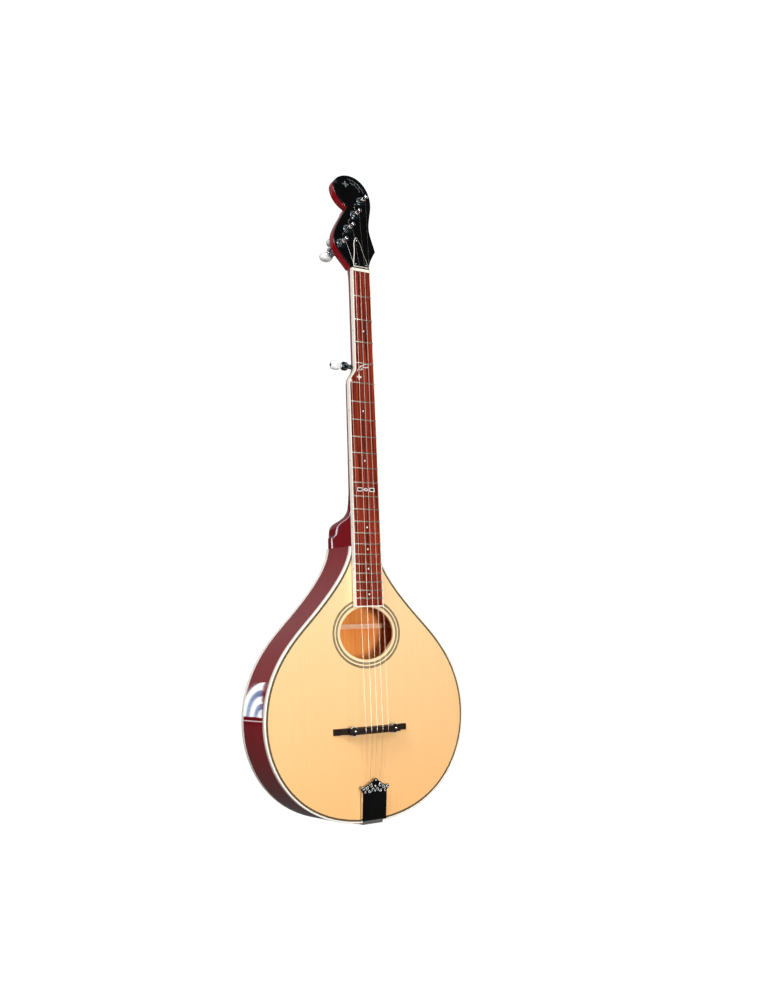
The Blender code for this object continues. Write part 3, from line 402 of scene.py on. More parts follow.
# ---- outlines --------------------------------------------------------------------------------------
def bezier_points(anchors, steps):
    points = []
    for (_, start, leave), (arrive, end, _) in zip(anchors, anchors[1:]):
        stretch = interpolate_bezier(Vector(start), Vector(leave), Vector(arrive), Vector(end), steps + 1)
        points.extend((p.x, p.y) for p in stretch[:-1])
    points.append(tuple(anchors[-1][1]))
    return points


def mirrored(points):
    return [(-x, z) for x, z in reversed(points)]


def body_half(distance, steps=40):
    """The right half of the body's outline, moved inwards."""
    points = bezier_points(BODY_ANCHORS, steps)
    moved = []
    for i, (x, z) in enumerate(points):
        before, after = points[max(i - 1, 0)], points[min(i + 1, len(points) - 1)]
        tangent = Vector((after[0] - before[0], after[1] - before[1])).normalized()
        moved.append((x - tangent.y * distance, z + tangent.x * distance))
    moved[0] = (0.0, points[0][1] + distance)
    moved[-1] = (moved[-1][0], points[-1][1])
    return moved


def body_loop(distance):
    half = body_half(distance)
    return half + mirrored(half)[:-1]


def body_band(outer, inner):
    outside, inside = body_half(outer), body_half(inner)
    return mirrored(outside)[:-1] + outside + inside[::-1] + mirrored(inside)[::-1][1:]


def ellipse(centre, half, count):
    return [(centre[0] + half[0] * math.cos(2 * math.pi * i / count),
             centre[1] + half[1] * math.sin(2 * math.pi * i / count)) for i in range(count)]


def hole_edge(offset):
    return ellipse((0, SOUND_HOLE_Z), [side + offset for side in SOUND_HOLE_HALF], 120)


def rectangle(x0, x1, z0, z1):
    return [(x0, z0), (x1, z0), (x1, z1), (x0, z1)]


def board_half(distance):
    return BOARD_HALF[0] + (BOARD_HALF[1] - BOARD_HALF[0]) * distance / BOARD_LENGTH


def bass_edge(distance):
    t = min(max((distance - STEP_START) / (STEP_END - STEP_START), 0.0), 1.0)
    return -board_half(distance) + NUT_INSET * (1 - t * t * (3 - 2 * t))


def board_outline(margin, foot=0.0):
    steps = 24
    stations = [0.0] + [STEP_START + (STEP_END - STEP_START) * i / steps for i in range(steps + 1)]
    end = BOARD_LENGTH - foot
    bass = [(bass_edge(d) + margin, -d) for d in stations + [end]]
    return bass + [(board_half(end) - margin, -end), (board_half(0) - margin, 0.0)]


def fret_distance(fret):
    return SCALE_LENGTH * (1 - 2 ** (-fret / 12))


def leaf(centre, direction, length, width):
    """A pointed oval."""
    along = Vector((math.cos(direction), math.sin(direction)))
    across = Vector((-along.y, along.x))
    points = []
    count = 8
    for side in (1, -1):
        for i in range(count):
            t = i / count if side == 1 else 1 - i / count
            points.append(Vector(centre) + along * length * (t - 0.5)
                          + across * side * width / 2 * math.sin(math.pi * t))
    return points


def quatrefoil(centre, radius, count=64):
    return [(centre[0] + reach * math.cos(a), centre[1] + reach * math.sin(a))
            for a, reach in ((2 * math.pi * i / count,
                              radius * (0.66 + 0.34 * math.cos(8 * math.pi * i / count)))
                             for i in range(count))]


# ---- body ------------------------------------------------------------------------------------------
def build_body():
    slab_piece("soundboard", [body_loop(PURFLING_END - 0.2), hole_edge(0)], 0.0, 3.0, BODY, SPRUCE,
               replaces=["top_plate"])
    slab_piece("purfling", [body_band(BINDING_WIDTH - 0.1, PURFLING_END)], -0.02, 2.8, BODY, ROPE,
               replaces=["top_purfling"])
    slab_piece("binding_top", [body_band(0, BINDING_WIDTH)], -0.04, BINDING_HEIGHT, BODY, CREAM,
               edge=0.9, replaces=["top_binding"])
    slab_piece("binding_back", [body_band(0, BINDING_WIDTH)], BODY_DEPTH - BINDING_HEIGHT, BODY_DEPTH,
               BODY, CREAM, edge=0.9, replaces=["back_binding"])
    slab_piece("back", [body_loop(BINDING_WIDTH - 0.1)], 60.0, 62.95, BODY, CHERRY,
               replaces=["back_plate"])
    slab_piece("back_inside", [body_loop(6.0)], 59.75, 60.1, BODY, INNER_WOOD)
    for side, flip in (("treble", 1), ("bass", -1)):
        outside, inside = body_half(0.02), body_half(2.5)
        half = [(flip * x, z) for x, z in outside + inside[::-1]]
        slab_piece(f"side_{side}", [half], BINDING_HEIGHT - 0.05, BODY_DEPTH - BINDING_HEIGHT + 0.05,
                   BODY, CHERRY, replaces=[f"rim_{side}"])


def build_rosette():
    """Two dark rope rings with a pale line in each, a pale band between them, and a pale hole edge."""
    for name, near, far, material in (
            ("border", 0.0, 4.2, PALE_LINE), ("rope_1", 4.2, 5.5, ROPE), ("line_1", 5.5, 5.8, PALE_LINE),
            ("rope_2", 5.8, 7.1, ROPE), ("band", 7.1, 9.4, PALE_LINE), ("rope_3", 9.4, 10.8, ROPE),
            ("line_2", 10.8, 11.1, PALE_LINE), ("rope_4", 11.1, 12.5, ROPE)):
        slab_piece(f"rosette_{name}", [hole_edge(far), hole_edge(near)], -0.04,
                   3.0 if name == "border" else 0.6, BODY, material,
                   replaces=["rosette"] if name == "band" else ())


# ---- neck ------------------------------------------------------------------------------------------
def neck_face(z):
    return BOARD_FACE_AT_NUT + BOARD_THICKNESS + 0.05 - (SCALE_LENGTH - z) * math.tan(BOARD_TILT)


def neck_section(origin, tilt, bass, treble, depth, fullness, count=36):
    middle, half = (bass + treble) / 2, (treble - bass) / 2
    back = Vector((0, math.cos(tilt), -math.sin(tilt)))
    points = []
    for i in range(count + 1):
        angle = math.pi * i / count
        cosine = math.cos(angle)
        across = math.copysign(abs(cosine) ** (2 / fullness), cosine)
        points.append(Vector((middle + half * across, 0, 0)) + Vector(origin)
                      + back * depth * max(math.sin(angle), 0.0) ** (2 / fullness))
    return points


def smooth_rows(rows, steps):
    """Catmull-Rom through rows of numbers, along the first one."""
    result = []
    for i in range(len(rows) - 1):
        a, b, c, d = rows[max(i - 1, 0)], rows[i], rows[i + 1], rows[min(i + 2, len(rows) - 1)]
        for k in range(steps):
            t = k / steps
            result.append([0.5 * (2 * q + (r - p) * t + (2 * p - 5 * q + 4 * r - s) * t * t
                                  + (3 * q - p - 3 * r + s) * t ** 3) for p, q, r, s in zip(a, b, c, d)])
    return result + [list(rows[-1])]


def build_neck():
    stations = [(262.1, 62.9, 14.0), (276.0, 62.9, 14.0), (277.5, 64.2, 9.0), (280.0, 66.0, 6.5),
                (284.0, 66.8, 5.8), (290.0, 66.6, 5.2), (294.5, 64.0, 4.4), (298.0, 58.5, 3.5),
                (301.0, 49.5, 2.8), (304.5, 40.0, 2.3), (309.0, 31.5, 2.1), (315.0, 25.5, 1.9),
                (322.0, 23.2, 1.8), (333.0, 21.3, 1.7), (346.0, 20.0, 1.65), (400.0, 19.6, 1.65),
                (498.0, 19.4, 1.65), (522.0, 19.5, 1.65), (600.0, 19.8, 1.65), (650.0, 20.2, 1.7),
                (664.0, 20.8, 1.8)]
    sections = []
    for z, back, fullness in smooth_rows(stations, 8):
        face, distance = neck_face(z), SCALE_LENGTH - z
        sections.append(neck_section((0, face, z), 0.0, max(bass_edge(distance), -24.0),
                                     min(board_half(distance), 24.0), back - face, fullness))
    sections.append(neck_section((0, 1.9, 668.0), HEAD_TILT / 2, -10.4, 22.2, 18.5, 2.0))
    up = Vector((0, math.sin(HEAD_TILT), math.cos(HEAD_TILT)))
    back = Vector((0, math.cos(HEAD_TILT), -math.sin(HEAD_TILT)))
    for rise, depth, bass, treble in ((3.0, 13.5, -11.0, 22.2), (14.0, 10.4, -16.0, 24.0)):
        origin = Vector(HEAD_ORIGIN) + up * rise + back * 3.3
        sections.append(neck_section(origin, HEAD_TILT, bass, treble, depth, 2.8))
    work = bmesh.new()
    add_loft(work, sections)
    make_piece("neck_shaft", work, BODY, CHERRY, replaces=["neck"], angle=50)
    outline = head_outline()
    outline[0], outline[-1] = (outline[0][0], 2.0), (outline[-1][0], 2.0)
    slab_piece("headstock_core", [outline], OVERLAY_THICKNESS, HEAD_BACK, HEAD, CHERRY, edge=1.2)
    work = bmesh.new()
    tongue = [(neck_face(175.5), 175.5), (-0.05, 175.5), (-0.05, 266.0), (neck_face(266.0), 266.0)]
    for x in (-22.6, 22.6):
        for y, z in tongue:
            work.verts.new((x, y, z))
    bmesh.ops.convex_hull(work, input=list(work.verts))
    make_piece("neck_tongue", work, BODY, CHERRY)


def build_board():
    inner = BOARD_BINDING
    slab_piece("board_wood", [board_outline(inner, inner)], 0.0, BOARD_THICKNESS, BOARD, ROSEWOOD,
               replaces=["fretboard"])
    edge = board_outline(0.0) + board_outline(inner - 0.02, inner)[::-1]
    slab_piece("board_binding", [edge], -0.03, BOARD_THICKNESS + 0.02, BOARD, CREAM,
               replaces=["fretboard_binding"])
    for fret in range(1, FRET_COUNT + 1):
        distance = fret_distance(fret)
        left, right = bass_edge(distance) + 0.5, board_half(distance) - 0.5
        sections = []
        for x, size in ((left, 0.3), (left + 0.5, 1.0), (right - 0.5, 1.0), (right, 0.3)):
            ring = [Vector((x, 0.25 - 1.35 * size * math.sin(a), -distance - size * math.cos(a)))
                    for a in (math.pi * k / 10 for k in range(11))]
            sections.append(ring)
        work = bmesh.new()
        add_loft(work, sections)
        make_piece(f"fret_{fret:02d}", work, BOARD, FRET_WIRE, angle=60)


def build_markers():
    """Pearl dots between frets, dots on the bass side, the octave blocks and the fifth-fret flower."""
    for upper in (2, 6, 9, 14, 16, 18, 21):
        distance = (fret_distance(upper) + fret_distance(upper + 1)) / 2
        middle = (bass_edge(distance) + board_half(distance)) / 2
        lathe_piece(f"dot_{upper + 1:02d}", [(0, 0.06), (1.15, 0.05), (1.4, -0.1), (1.4, -0.8)],
                    at(BOARD, middle, 0, -distance) @ FORWARD, PEARL, steps=32)
        lathe_piece(f"side_dot_{upper + 1:02d}", [(0, 0.06), (0.8, 0.04), (0.9, -0.4)],
                    at(BOARD, bass_edge(distance), 3.2, -distance) @ BASSWARD, BLACK, steps=20)
    middle = -(fret_distance(12) + fret_distance(11)) / 2
    for index, outline in enumerate((
            rectangle(-15.0, -6.0, middle - 2.8, middle + 2.8),
            [(-4.8, middle), (0.25, middle - 2.6), (5.3, middle), (0.25, middle + 2.6)],
            rectangle(6.5, 15.5, middle - 2.8, middle + 2.8))):
        slab_piece(f"octave_block_{index + 1}", [outline], -0.06, 0.8, BOARD, PEARL, edge=0.15,
                   replaces=["octave_marker"] if index == 0 else ())
        slab_piece(f"octave_centre_{index + 1}", [moved_outline(outline, -1.1)], -0.1, 0.4, BOARD, EBONY)
    slab_piece("board_flower", [quatrefoil((-5.0, -158.5), 4.4)], -0.06, 0.8, BOARD, PEARL,
               replaces=["fifth_fret_inlay"])
    sprig("board_sprig_outer", BOARD, (-8.5, -150.5), (17.0, -138.5), -9.0, 6, PEARL)
    sprig("board_sprig_inner", BOARD, (-3.0, -149.0), (11.5, -143.5), -5.0, 4, PEARL)


def sprig(name, matrix, start, end, bow, leaves, material):
    """A bowed stem with leaves on alternate sides, inlaid in pearl."""
    start, end = Vector(start), Vector(end)
    across = Vector((-(end - start).y, (end - start).x)).normalized()

    def point(t):
        return start.lerp(end, t) + across * -bow * 4 * t * (1 - t) * 0.5

    count = 20
    stem = [point(i / count) for i in range(count + 1)]
    outline = []
    for sign in (0.35, -0.35):
        row = []
        for i, p in enumerate(stem):
            tangent = (stem[min(i + 1, count)] - stem[max(i - 1, 0)]).normalized()
            row.append(p + Vector((-tangent.y, tangent.x)) * sign)
        outline += row if sign > 0 else row[::-1]
    work = bmesh.new()
    add_slab(work, [outline], -0.06, 0.6)
    for i in range(leaves):
        t = (i + 0.7) / leaves
        tangent = point(min(t + 0.05, 1.0)) - point(t - 0.05)
        side = 1 if i % 2 else -1
        angle = math.atan2(tangent.y, tangent.x) + side * 0.8
        centre = point(t) + Vector((math.cos(angle), math.sin(angle))) * 1.5
        add_slab(work, [leaf(centre, angle, 3.0, 1.1)], -0.07, 0.6)
    return make_piece(name, work, matrix, material)


def build_nuts():
    work = bmesh.new()
    sections = []
    for x, size in ((-10.6, 0.9), (-10.2, 1.0), (21.6, 1.0), (22.0, 0.9)):
        profile = [(-6.0, 667.2), (1.6, 667.2), (1.6, 672.0), (-4.3, 672.0), (-5.4, 670.9), (-5.9, 669.4)]
        centre = Vector((-2.0, 669.6))
        sections.append([Vector((x, centre.x + (y - centre.x) * size, centre.y + (z - centre.y) * size))
                         for y, z in profile])
    add_loft(work, sections)
    make_piece("nut_block", work, BODY, BONE, replaces=["nut"], angle=25)
    lathe_piece("drone_nut", [(0, 2.2), (1.2, 2.15), (1.7, 1.7), (1.8, 0.0), (0, 0.0)],
                at(BOARD, PIP_PLACE[0], 0, PIP_PLACE[1]) @ FORWARD, BONE, steps=28,
                replaces=["fifth_string_nut"])


def head_outline():
    return bezier_points(HEAD_ANCHORS, 20)


def build_headstock():
    slab_piece("head_overlay", [head_outline()], 0.0, OVERLAY_THICKNESS + 0.05, HEAD, BLACK, edge=0.5,
               replaces=["headstock_overlay"])
    slab_piece("head_flower", [quatrefoil((7.5, 145.5), 5.8)], -0.06, 0.6, HEAD, GREY_PEARL,
               replaces=["headstock_inlay"])
    sprig("head_sprig_outer", HEAD, (13.0, 156.0), (39.5, 136.5), -9.0, 7, GREY_PEARL)
    sprig("head_sprig_inner", HEAD, (16.5, 149.5), (32.5, 137.0), -6.0, 5, GREY_PEARL)
    anchors = (
        (None, (21.0, 3.0), (20.4, 14.0)),
        ((14.5, 25.0), (14.0, 38.0), (13.0, 46.0)),
        ((10.5, 50.0), (7.5, 53.0), (4.5, 50.0)),
        ((2.0, 46.0), (1.0, 38.0), (0.5, 25.0)),
        ((-5.4, 14.0), (-6.0, 3.0), None),
    )
    cover = bezier_points(anchors, 14)
    slab_piece("rod_cover_edge", [cover], -1.3, -0.05, HEAD, CREAM, edge=0.2,
               replaces=["truss_rod_cover"])
    slab_piece("rod_cover", [moved_outline(cover, -0.75)], -1.75, -0.5, HEAD, BLACK, edge=0.3)
    for index, (x, z) in enumerate(((7.5, 47.0), (-1.9, 6.4), (16.9, 6.4))):
        screw_head(f"rod_cover_screw_{index + 1}", at(HEAD, x, -1.75, z) @ FORWARD, 1.3)


def screw_head(name, matrix, radius):
    """A raised head with a round hollow in its middle."""
    profile = [(0.0, 0.15), (0.32 * radius, 0.15), (0.36 * radius, 0.62), (0.7 * radius, 0.5),
               (0.95 * radius, 0.25), (radius, 0.0), (radius, -0.6)]
    lathe_piece(name, profile, matrix, CHROME, steps=32)


# ---- tuners ----------------------------------------------------------------------------------------
def hexagon(angle):
    """Radius of a hexagon with rounded corners, as a share of its inner radius."""
    local = (angle + math.pi / 6) % (math.pi / 3) - math.pi / 6
    return min(1.0 / math.cos(local), 1.12)


def paddle(name, matrix, width, thickness, near, far, node):
    """A flattened button between two heights, which stands in for a node and rides on its body."""
    rows = smooth_rows([(near, 0.40), (near + 0.10 * (far - near), 0.52), (near + 0.26 * (far - near), 0.88),
                        (near + 0.5 * (far - near), 1.0), (near + 0.78 * (far - near), 0.95),
                        (near + 0.93 * (far - near), 0.80), (far, 0.42)], 5)
    sections = []
    for height, size in rows:
        ring = []
        for k in range(40):
            a = 2 * math.pi * k / 40
            c, s = math.cos(a), math.sin(a)
            ring.append(Vector((width / 2 * size * math.copysign(abs(c) ** 0.8, c),
                                thickness / 2 * size * math.copysign(abs(s) ** 0.9, s), height)))
        sections.append(ring)
    work = bmesh.new()
    add_loft(work, sections)
    make_piece(name, work, matrix, PEARL, body=node, replaces=[node], angle=60)


def build_tuners():
    for number in range(1, 5):
        x = TUNER_FIRST[0] + TUNER_STEP[0] * (number - 1)
        rise = TUNER_FIRST[1] + TUNER_STEP[1] * (number - 1)
        front, rear = at(HEAD, x, 0, rise) @ FORWARD, at(HEAD, x, 0, rise) @ BACKWARD
        post, button = f"tuner_post_{number}", f"tuner_button_{number}"
        lathe_piece(f"tuner_washer_{number}", [(3.6, 0.9), (7.2, 0.9), (7.6, 0.5), (7.6, 0.0), (3.6, 0.0)],
                    front, DARK_CHROME, closed=True, replaces=[f"tuner_housing_{number}"])
        lathe_piece(f"tuner_nut_{number}", [(3.6, 2.9), (5.2, 2.9), (5.8, 2.4), (5.8, 0.9), (3.6, 0.9)],
                    front, DARK_CHROME, steps=72, closed=True, wave=hexagon)
        lathe_piece(f"tuner_case_{number}",
                    [(0, 14.2), (6.4, 14.2), (6.6, 15.2), (7.6, 15.8), (8.0, 16.6), (8.0, 20.6), (7.6, 20.9),
                     (7.6, 21.5), (8.0, 21.8), (8.0, 26.8), (7.2, 28.4), (5.4, 29.8), (5.0, 31.2),
                     (3.6, 32.2), (3.2, 33.3), (0, 33.3)], rear, CHROME, steps=56)
        lathe_piece(f"tuner_peg_{number}",
                    [(0, POST_TOP - 0.4), (2.2, POST_TOP - 0.1), (2.9, POST_TOP - 0.6), (3.2, POST_TOP - 1.4),
                     (3.2, POST_TOP - 3.2), (2.7, POST_TOP - 5.0), (2.45, POST_TOP - 7.2),
                     (2.6, POST_TOP - 9.2), (3.2, 6.4), (3.2, 1.0), (0, 1.0)], front, CHROME, steps=48,
                    body=post, replaces=[post])
        turns, steps, pitch, coil_radius = 3.2, 24, 0.62, 2.85
        coil = []
        for k in range(int(turns * steps) + 1):
            a = 2 * math.pi * k / steps
            coil.append((coil_radius * math.cos(a), coil_radius * math.sin(a),
                         POST_TOP - 8.0 - pitch * k / steps))
        tube_piece(f"winding_{number}", coil, 0.28, front, STRING_WIRE, sides=8, body=post)
        # A black disc on the post's side: painted shade standing in for the dark inside of the string hole.
        lathe_piece(f"tuner_hole_shade_{number}", [(0, 0.05), (0.6, 0.05), (0.6, -0.5), (0, -0.5)],
                    at(HEAD, x, -(POST_TOP - 2.5), rise) @ Matrix.Translation((POST_RADIUS * MM, 0, 0))
                    @ Matrix.Rotation(math.pi / 2, 4, "Y"), BLACK, steps=16, body=post)
        paddle(f"tuner_knob_{number}", rear, 21.0, 13.5, 33.6, 48.0, button)
        lathe_piece(f"tuner_knob_screw_{number}", [(0, 0.1), (1.2, 0.1), (1.5, 0.5), (2.2, 0.3), (2.4, -0.4)],
                    at(rear, 0, 0, 48.0), DARK_CHROME, steps=28, body=button)
        lathe_piece(f"tuner_pin_{number}", [(0, 0.5), (0.7, 0.4), (0.9, 0.0), (0.9, -0.4)],
                    at(HEAD, x - 6.8, 0, rise - 4.6) @ FORWARD, CHROME, steps=20)


def build_fifth_peg():
    axis = at(BODY, 0, PEG_DEPTH, PEG_Z) @ BASSWARD
    edge = -bass_edge(SCALE_LENGTH - PEG_Z)
    lathe_piece("drone_post", [(2.1, edge + 0.7), (3.7, edge + 0.7), (3.9, edge + 1.0), (3.9, edge + 2.2),
                               (3.2, edge + 4.0), (3.2, edge + 6.2), (3.9, edge + 7.6), (3.9, edge + 9.7),
                               (3.7, edge + 10.0), (2.1, edge + 10.0)], axis, DARK_CHROME, closed=True,
                body="fifth_peg_post", replaces=["fifth_peg_post"])
    lathe_piece("drone_case", [(0, edge - 2), (1.7, edge - 2), (1.7, edge + 10.3), (5.6, edge + 10.3),
                               (6.3, edge + 10.8), (6.5, edge + 11.3), (6.5, edge + 13.0), (6.1, edge + 13.3),
                               (6.1, edge + 13.8), (6.5, edge + 14.1), (6.5, edge + 16.0), (5.4, edge + 16.8),
                               (4.4, edge + 17.1), (3.0, edge + 18.0), (3.0, edge + 18.4), (0, edge + 18.4)],
                axis, DARK_CHROME, steps=56, replaces=["fifth_peg_housing"])
    paddle("drone_knob", axis, 13.5, 10.0, edge + 18.6, edge + 37.4, "fifth_peg_button")
    lathe_piece("drone_knob_screw", [(0, 0.1), (1.1, 0.1), (1.4, 0.5), (2.0, 0.3), (2.2, -0.4)],
                at(axis, 0, 0, edge + 37.4), DARK_CHROME, steps=28, body="fifth_peg_button")


# ---- bridge and tailpiece --------------------------------------------------------------------------
def plan_slab(name, outline, low_z, high_z, edge, **kwargs):
    """A plate drawn in X and Y, thick along Z."""
    turned = Matrix(((1, 0, 0, 0), (0, 0, 1, 0), (0, -1, 0, 0), (0, 0, 0, 1)))
    work = bmesh.new()
    add_slab(work, [outline], -high_z, -low_z, edge)
    bmesh.ops.transform(work, matrix=turned, verts=work.verts)
    return make_piece(name, work, **kwargs)


def build_bridge():
    low, high = BRIDGE_Z - BRIDGE_WIDTH / 2, BRIDGE_Z + BRIDGE_WIDTH / 2
    reach = BRIDGE_HALF
    base = [(-reach, -0.1), (reach, -0.1), (reach, -3.2), (reach - 16, -3.8), (reach - 19, -7.8),
            (19 - reach, -7.8), (16 - reach, -3.8), (-reach, -3.2)]
    plan_slab("bridge_foot", base, low, high, 0.5, matrix=BODY, material=EBONY,
              replaces=["bridge_base"])
    top = [(-43.5, -13.2), (43.5, -13.2), (43.5, -15.4), (33, -16.4), (25, -18.4), (-25, -18.4),
           (-33, -16.4), (-43.5, -15.4)]
    plan_slab("bridge_top", top, low, high, 0.4, matrix=BODY, material=EBONY, body="bridge_saddle",
              replaces=["bridge_saddle"])
    for side, x in (("bass", -BRIDGE_POST_X), ("treble", BRIDGE_POST_X)):
        spot = at(BODY, x, 0, BRIDGE_Z) @ FORWARD
        lathe_piece(f"knurled_wheel_{side}",
                    [(1.8, 12.9), (6.3, 12.9), (7.0, 12.5), (7.0, 10.9), (6.3, 10.5), (1.8, 10.5)],
                    spot, DARK_CHROME, steps=192, closed=True,
                    wave=lambda a: 1.0 - 0.035 * (0.5 + 0.5 * math.cos(48 * a)),
                    body=f"thumbwheel_{side}", replaces=[f"thumbwheel_{side}"])
        # A pale silver ring on each wheel's outer front edge: a painted highlight standing in for the bright
        # glint on the wheel's rim.
        lathe_piece(f"wheel_highlight_rim_{side}", [(6.1, 12.88), (6.3, 13.0), (6.9, 12.7), (7.0, 12.4)], spot,
                    SILVER, steps=96, closed=True, body=f"thumbwheel_{side}")
        threads = [(0, 18.7), (1.1, 18.7)]
        for k in range(22):
            height = 18.4 - k * 0.7
            threads += [(1.5, height), (1.22, height - 0.35)]
        lathe_piece(f"threaded_post_{side}", threads + [(1.2, 2.6), (0, 2.6)], spot, CHROME, steps=24,
                    replaces=[f"bridge_post_{side}"])


def spiral(centre, radius, start, turns, flip, height, count=36):
    points = []
    for k in range(count + 1):
        t = k / count
        a = start + flip * 2 * math.pi * turns * t
        r = radius * (1 - 0.72 * t)
        points.append((centre[0] + r * math.cos(a), height, centre[1] + r * math.sin(a)))
    return points


def build_tailpiece():
    thick, flange = 0.9, 3.6
    inner = COVER_HALF - thick
    shell = [(-COVER_HALF, 0.0), (-COVER_HALF, flange), (-inner, flange), (-inner, thick),
             (inner, thick), (inner, flange), (COVER_HALF, flange), (COVER_HALF, 0.0)]
    plan_slab("cover_shell", shell, 0.0, COVER_LENGTH, 0.12, matrix=COVER, material=CHROME,
              body="tailpiece_cover", replaces=["tailpiece_cover"])
    slab_piece("cover_face", [rectangle(0.7 - COVER_HALF, COVER_HALF - 0.7, 0.6, COVER_LENGTH - 1.0)],
               -1.0, 0.1, COVER, BLACK, edge=0.35, body="tailpiece_cover",
               replaces=["tailpiece_cover_plate"])
    right = [(20.0, -2.0), (20.5, 1.0), (24.0, 4.2), (24.6, 7.0), (22.6, 9.2), (19.6, 8.8), (17.2, 7.6),
             (14.2, 10.4), (11.0, 11.0), (8.6, 14.0), (5.2, 14.6), (2.8, 18.0)]
    slab_piece("crest_plate", [right + [(0.0, 19.6)] + mirrored(right)], -0.2, 0.7, CREST, BLACK,
               edge=0.2, body="tailpiece_cover")
    work = bmesh.new()
    for flip in (1, -1):
        for x, z, radius, start, turns in (
                (21.0, 5.6, 2.8, 0.4, 0.9), (14.6, 6.0, 3.0, 2.4, 0.9), (7.8, 8.6, 3.0, 0.2, 0.9),
                (9.6, 1.6, 2.6, 3.4, 0.8), (3.4, 3.8, 2.6, 5.0, 0.8), (17.4, 0.6, 2.0, 1.0, 0.8)):
            path = spiral((flip * x, z), radius, start if flip > 0 else math.pi - start, turns, flip, -0.45)
            add_tube(work, path, [0.34 + 0.34 * (k / 36) for k in range(37)], 8)
    make_piece("crest_scrolls", work, CREST, SILVER, body="tailpiece_cover", angle=60)
    work = bmesh.new()
    for x, z, radius in ((0, 16.4, 1.3), (0, 8.0, 1.5), (0, 1.2, 1.2), (7.4, 12.0, 0.9), (-7.4, 12.0, 0.9),
                         (13.2, 8.4, 0.9), (-13.2, 8.4, 0.9), (7.4, 0.9, 0.9), (-7.4, 0.9, 0.9)):
        dome = [(0, 0.9), (0.5 * radius, 0.8), (0.87 * radius, 0.5), (radius, 0.0), (radius, -0.3)]
        add_lathe(work, dome, 24, Matrix.Translation((x, -0.2, z)) @ FORWARD)
    make_piece("crest_beads", work, CREST, SILVER, body="tailpiece_cover")


# ---- strings ---------------------------------------------------------------------------------------
def head_point(x, height, rise):
    """A point above the headstock's face, in the body's frame."""
    up = Vector((0, math.sin(HEAD_TILT), math.cos(HEAD_TILT)))
    out = Vector((0, -math.cos(HEAD_TILT), math.sin(HEAD_TILT)))
    return Vector(HEAD_ORIGIN) + Vector((x, 0, 0)) + up * rise + out * height


def divided(path, pieces=24):
    points = []
    for a, b in zip(path, path[1:]):
        points += [a.lerp(b, k / pieces) for k in range(pieces)]
    return points + [path[-1]]


def build_strings():
    """Each string is a tail length and a playing length, which meet at the saddle."""
    for index, radius in enumerate(STRING_RADII):
        number = 5 - index
        tail = Vector((STRING_AT_TAIL[index], -2.6, HOOK_Z + 1.6))
        saddle = Vector((STRING_AT_BRIDGE[index], -STRING_OVER_SADDLE, BRIDGE_Z))
        if index == 0:
            upper = [Vector((PIP_PLACE[0], -8.8, SCALE_LENGTH + PIP_PLACE[1])),
                     Vector((-20.2, PEG_DEPTH - 4.4, PEG_Z))]
        else:
            x = TUNER_FIRST[0] + TUNER_STEP[0] * (index - 1)
            rise = TUNER_FIRST[1] + TUNER_STEP[1] * (index - 1)
            upper = [Vector((STRING_AT_NUT[index], -STRING_OVER_NUT, SCALE_LENGTH + 2.6)),
                     head_point(x + POST_RADIUS, POST_TOP - 8.6, rise)]
        after = tube_piece(f"string_{number}_tail", divided([tail, saddle]), radius * 0.8, BODY,
                           DULL_WIRE, sides=8, body=None)
        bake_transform(after)
        playing = tube_piece(f"string_{number}_playing", divided([saddle, upper[0]]), radius, BODY,
                             STRING_WIRE, sides=8, body=None, replaces=[f"string_{number}"])
        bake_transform(playing)
        tube_piece(f"string_{number}_end", upper, radius * 0.8, BODY, STEEL, sides=8)


# ---- CAD pieces that stay --------------------------------------------------------------------------
def finish_kept_nodes():
    kept = {
        "neck_block": INNER_WOOD, "tail_block": INNER_WOOD, "top_lining": INNER_WOOD,
        "back_lining": INNER_WOOD, "bridge_plate": INNER_WOOD, "top_x_brace": BRACE_WOOD,
        "top_upper_brace": BRACE_WOOD, "back_brace_upper": BRACE_WOOD, "back_brace_lower": BRACE_WOOD,
        "truss_rod": STEEL, "truss_rod_nut": STEEL, "tailpiece_base": CHROME,
        "tailpiece_screw_bass": STEEL, "tailpiece_screw_treble": STEEL,
    }
    for node, material in kept.items():
        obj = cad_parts[node]
        obj.data.materials.clear()
        obj.data.materials.append(material)


# ---- studio ----------------------------------------------------------------------------------------
def build_camera():
    """A camera in front and to the bass side, looking slightly up, with a slight roll."""
    place = (-1.0194, -1.4390, -0.5353)
    heading, pitch, roll = math.radians(-36.37), math.radians(5.78), math.radians(-1.75)
    camera = bpy.data.cameras.new("camera")
    camera.lens = 44.1
    camera.sensor_width = 36.0
    view = bpy.data.objects.new("camera", camera)
    turn = Matrix.Rotation(heading, 4, "Z") @ Matrix.Rotation(math.pi / 2 + pitch, 4, "X") \
        @ Matrix.Rotation(roll, 4, "Z")
    view.matrix_world = Matrix.Translation(place) @ turn
    bpy.context.scene.collection.objects.link(view)
    bpy.context.scene.camera = view


def area_light(name, place, target, size, watts, colour=(1, 1, 1)):
    light = bpy.data.lights.new(name, "AREA")
    light.shape = "RECTANGLE"
    light.size, light.size_y = size
    light.energy = watts
    light.color = colour
    lamp = bpy.data.objects.new(name, light)
    lamp.location = place
    lamp.rotation_euler = (Vector(target) - Vector(place)).to_track_quat("-Z", "Y").to_euler()
    bpy.context.scene.collection.objects.link(lamp)


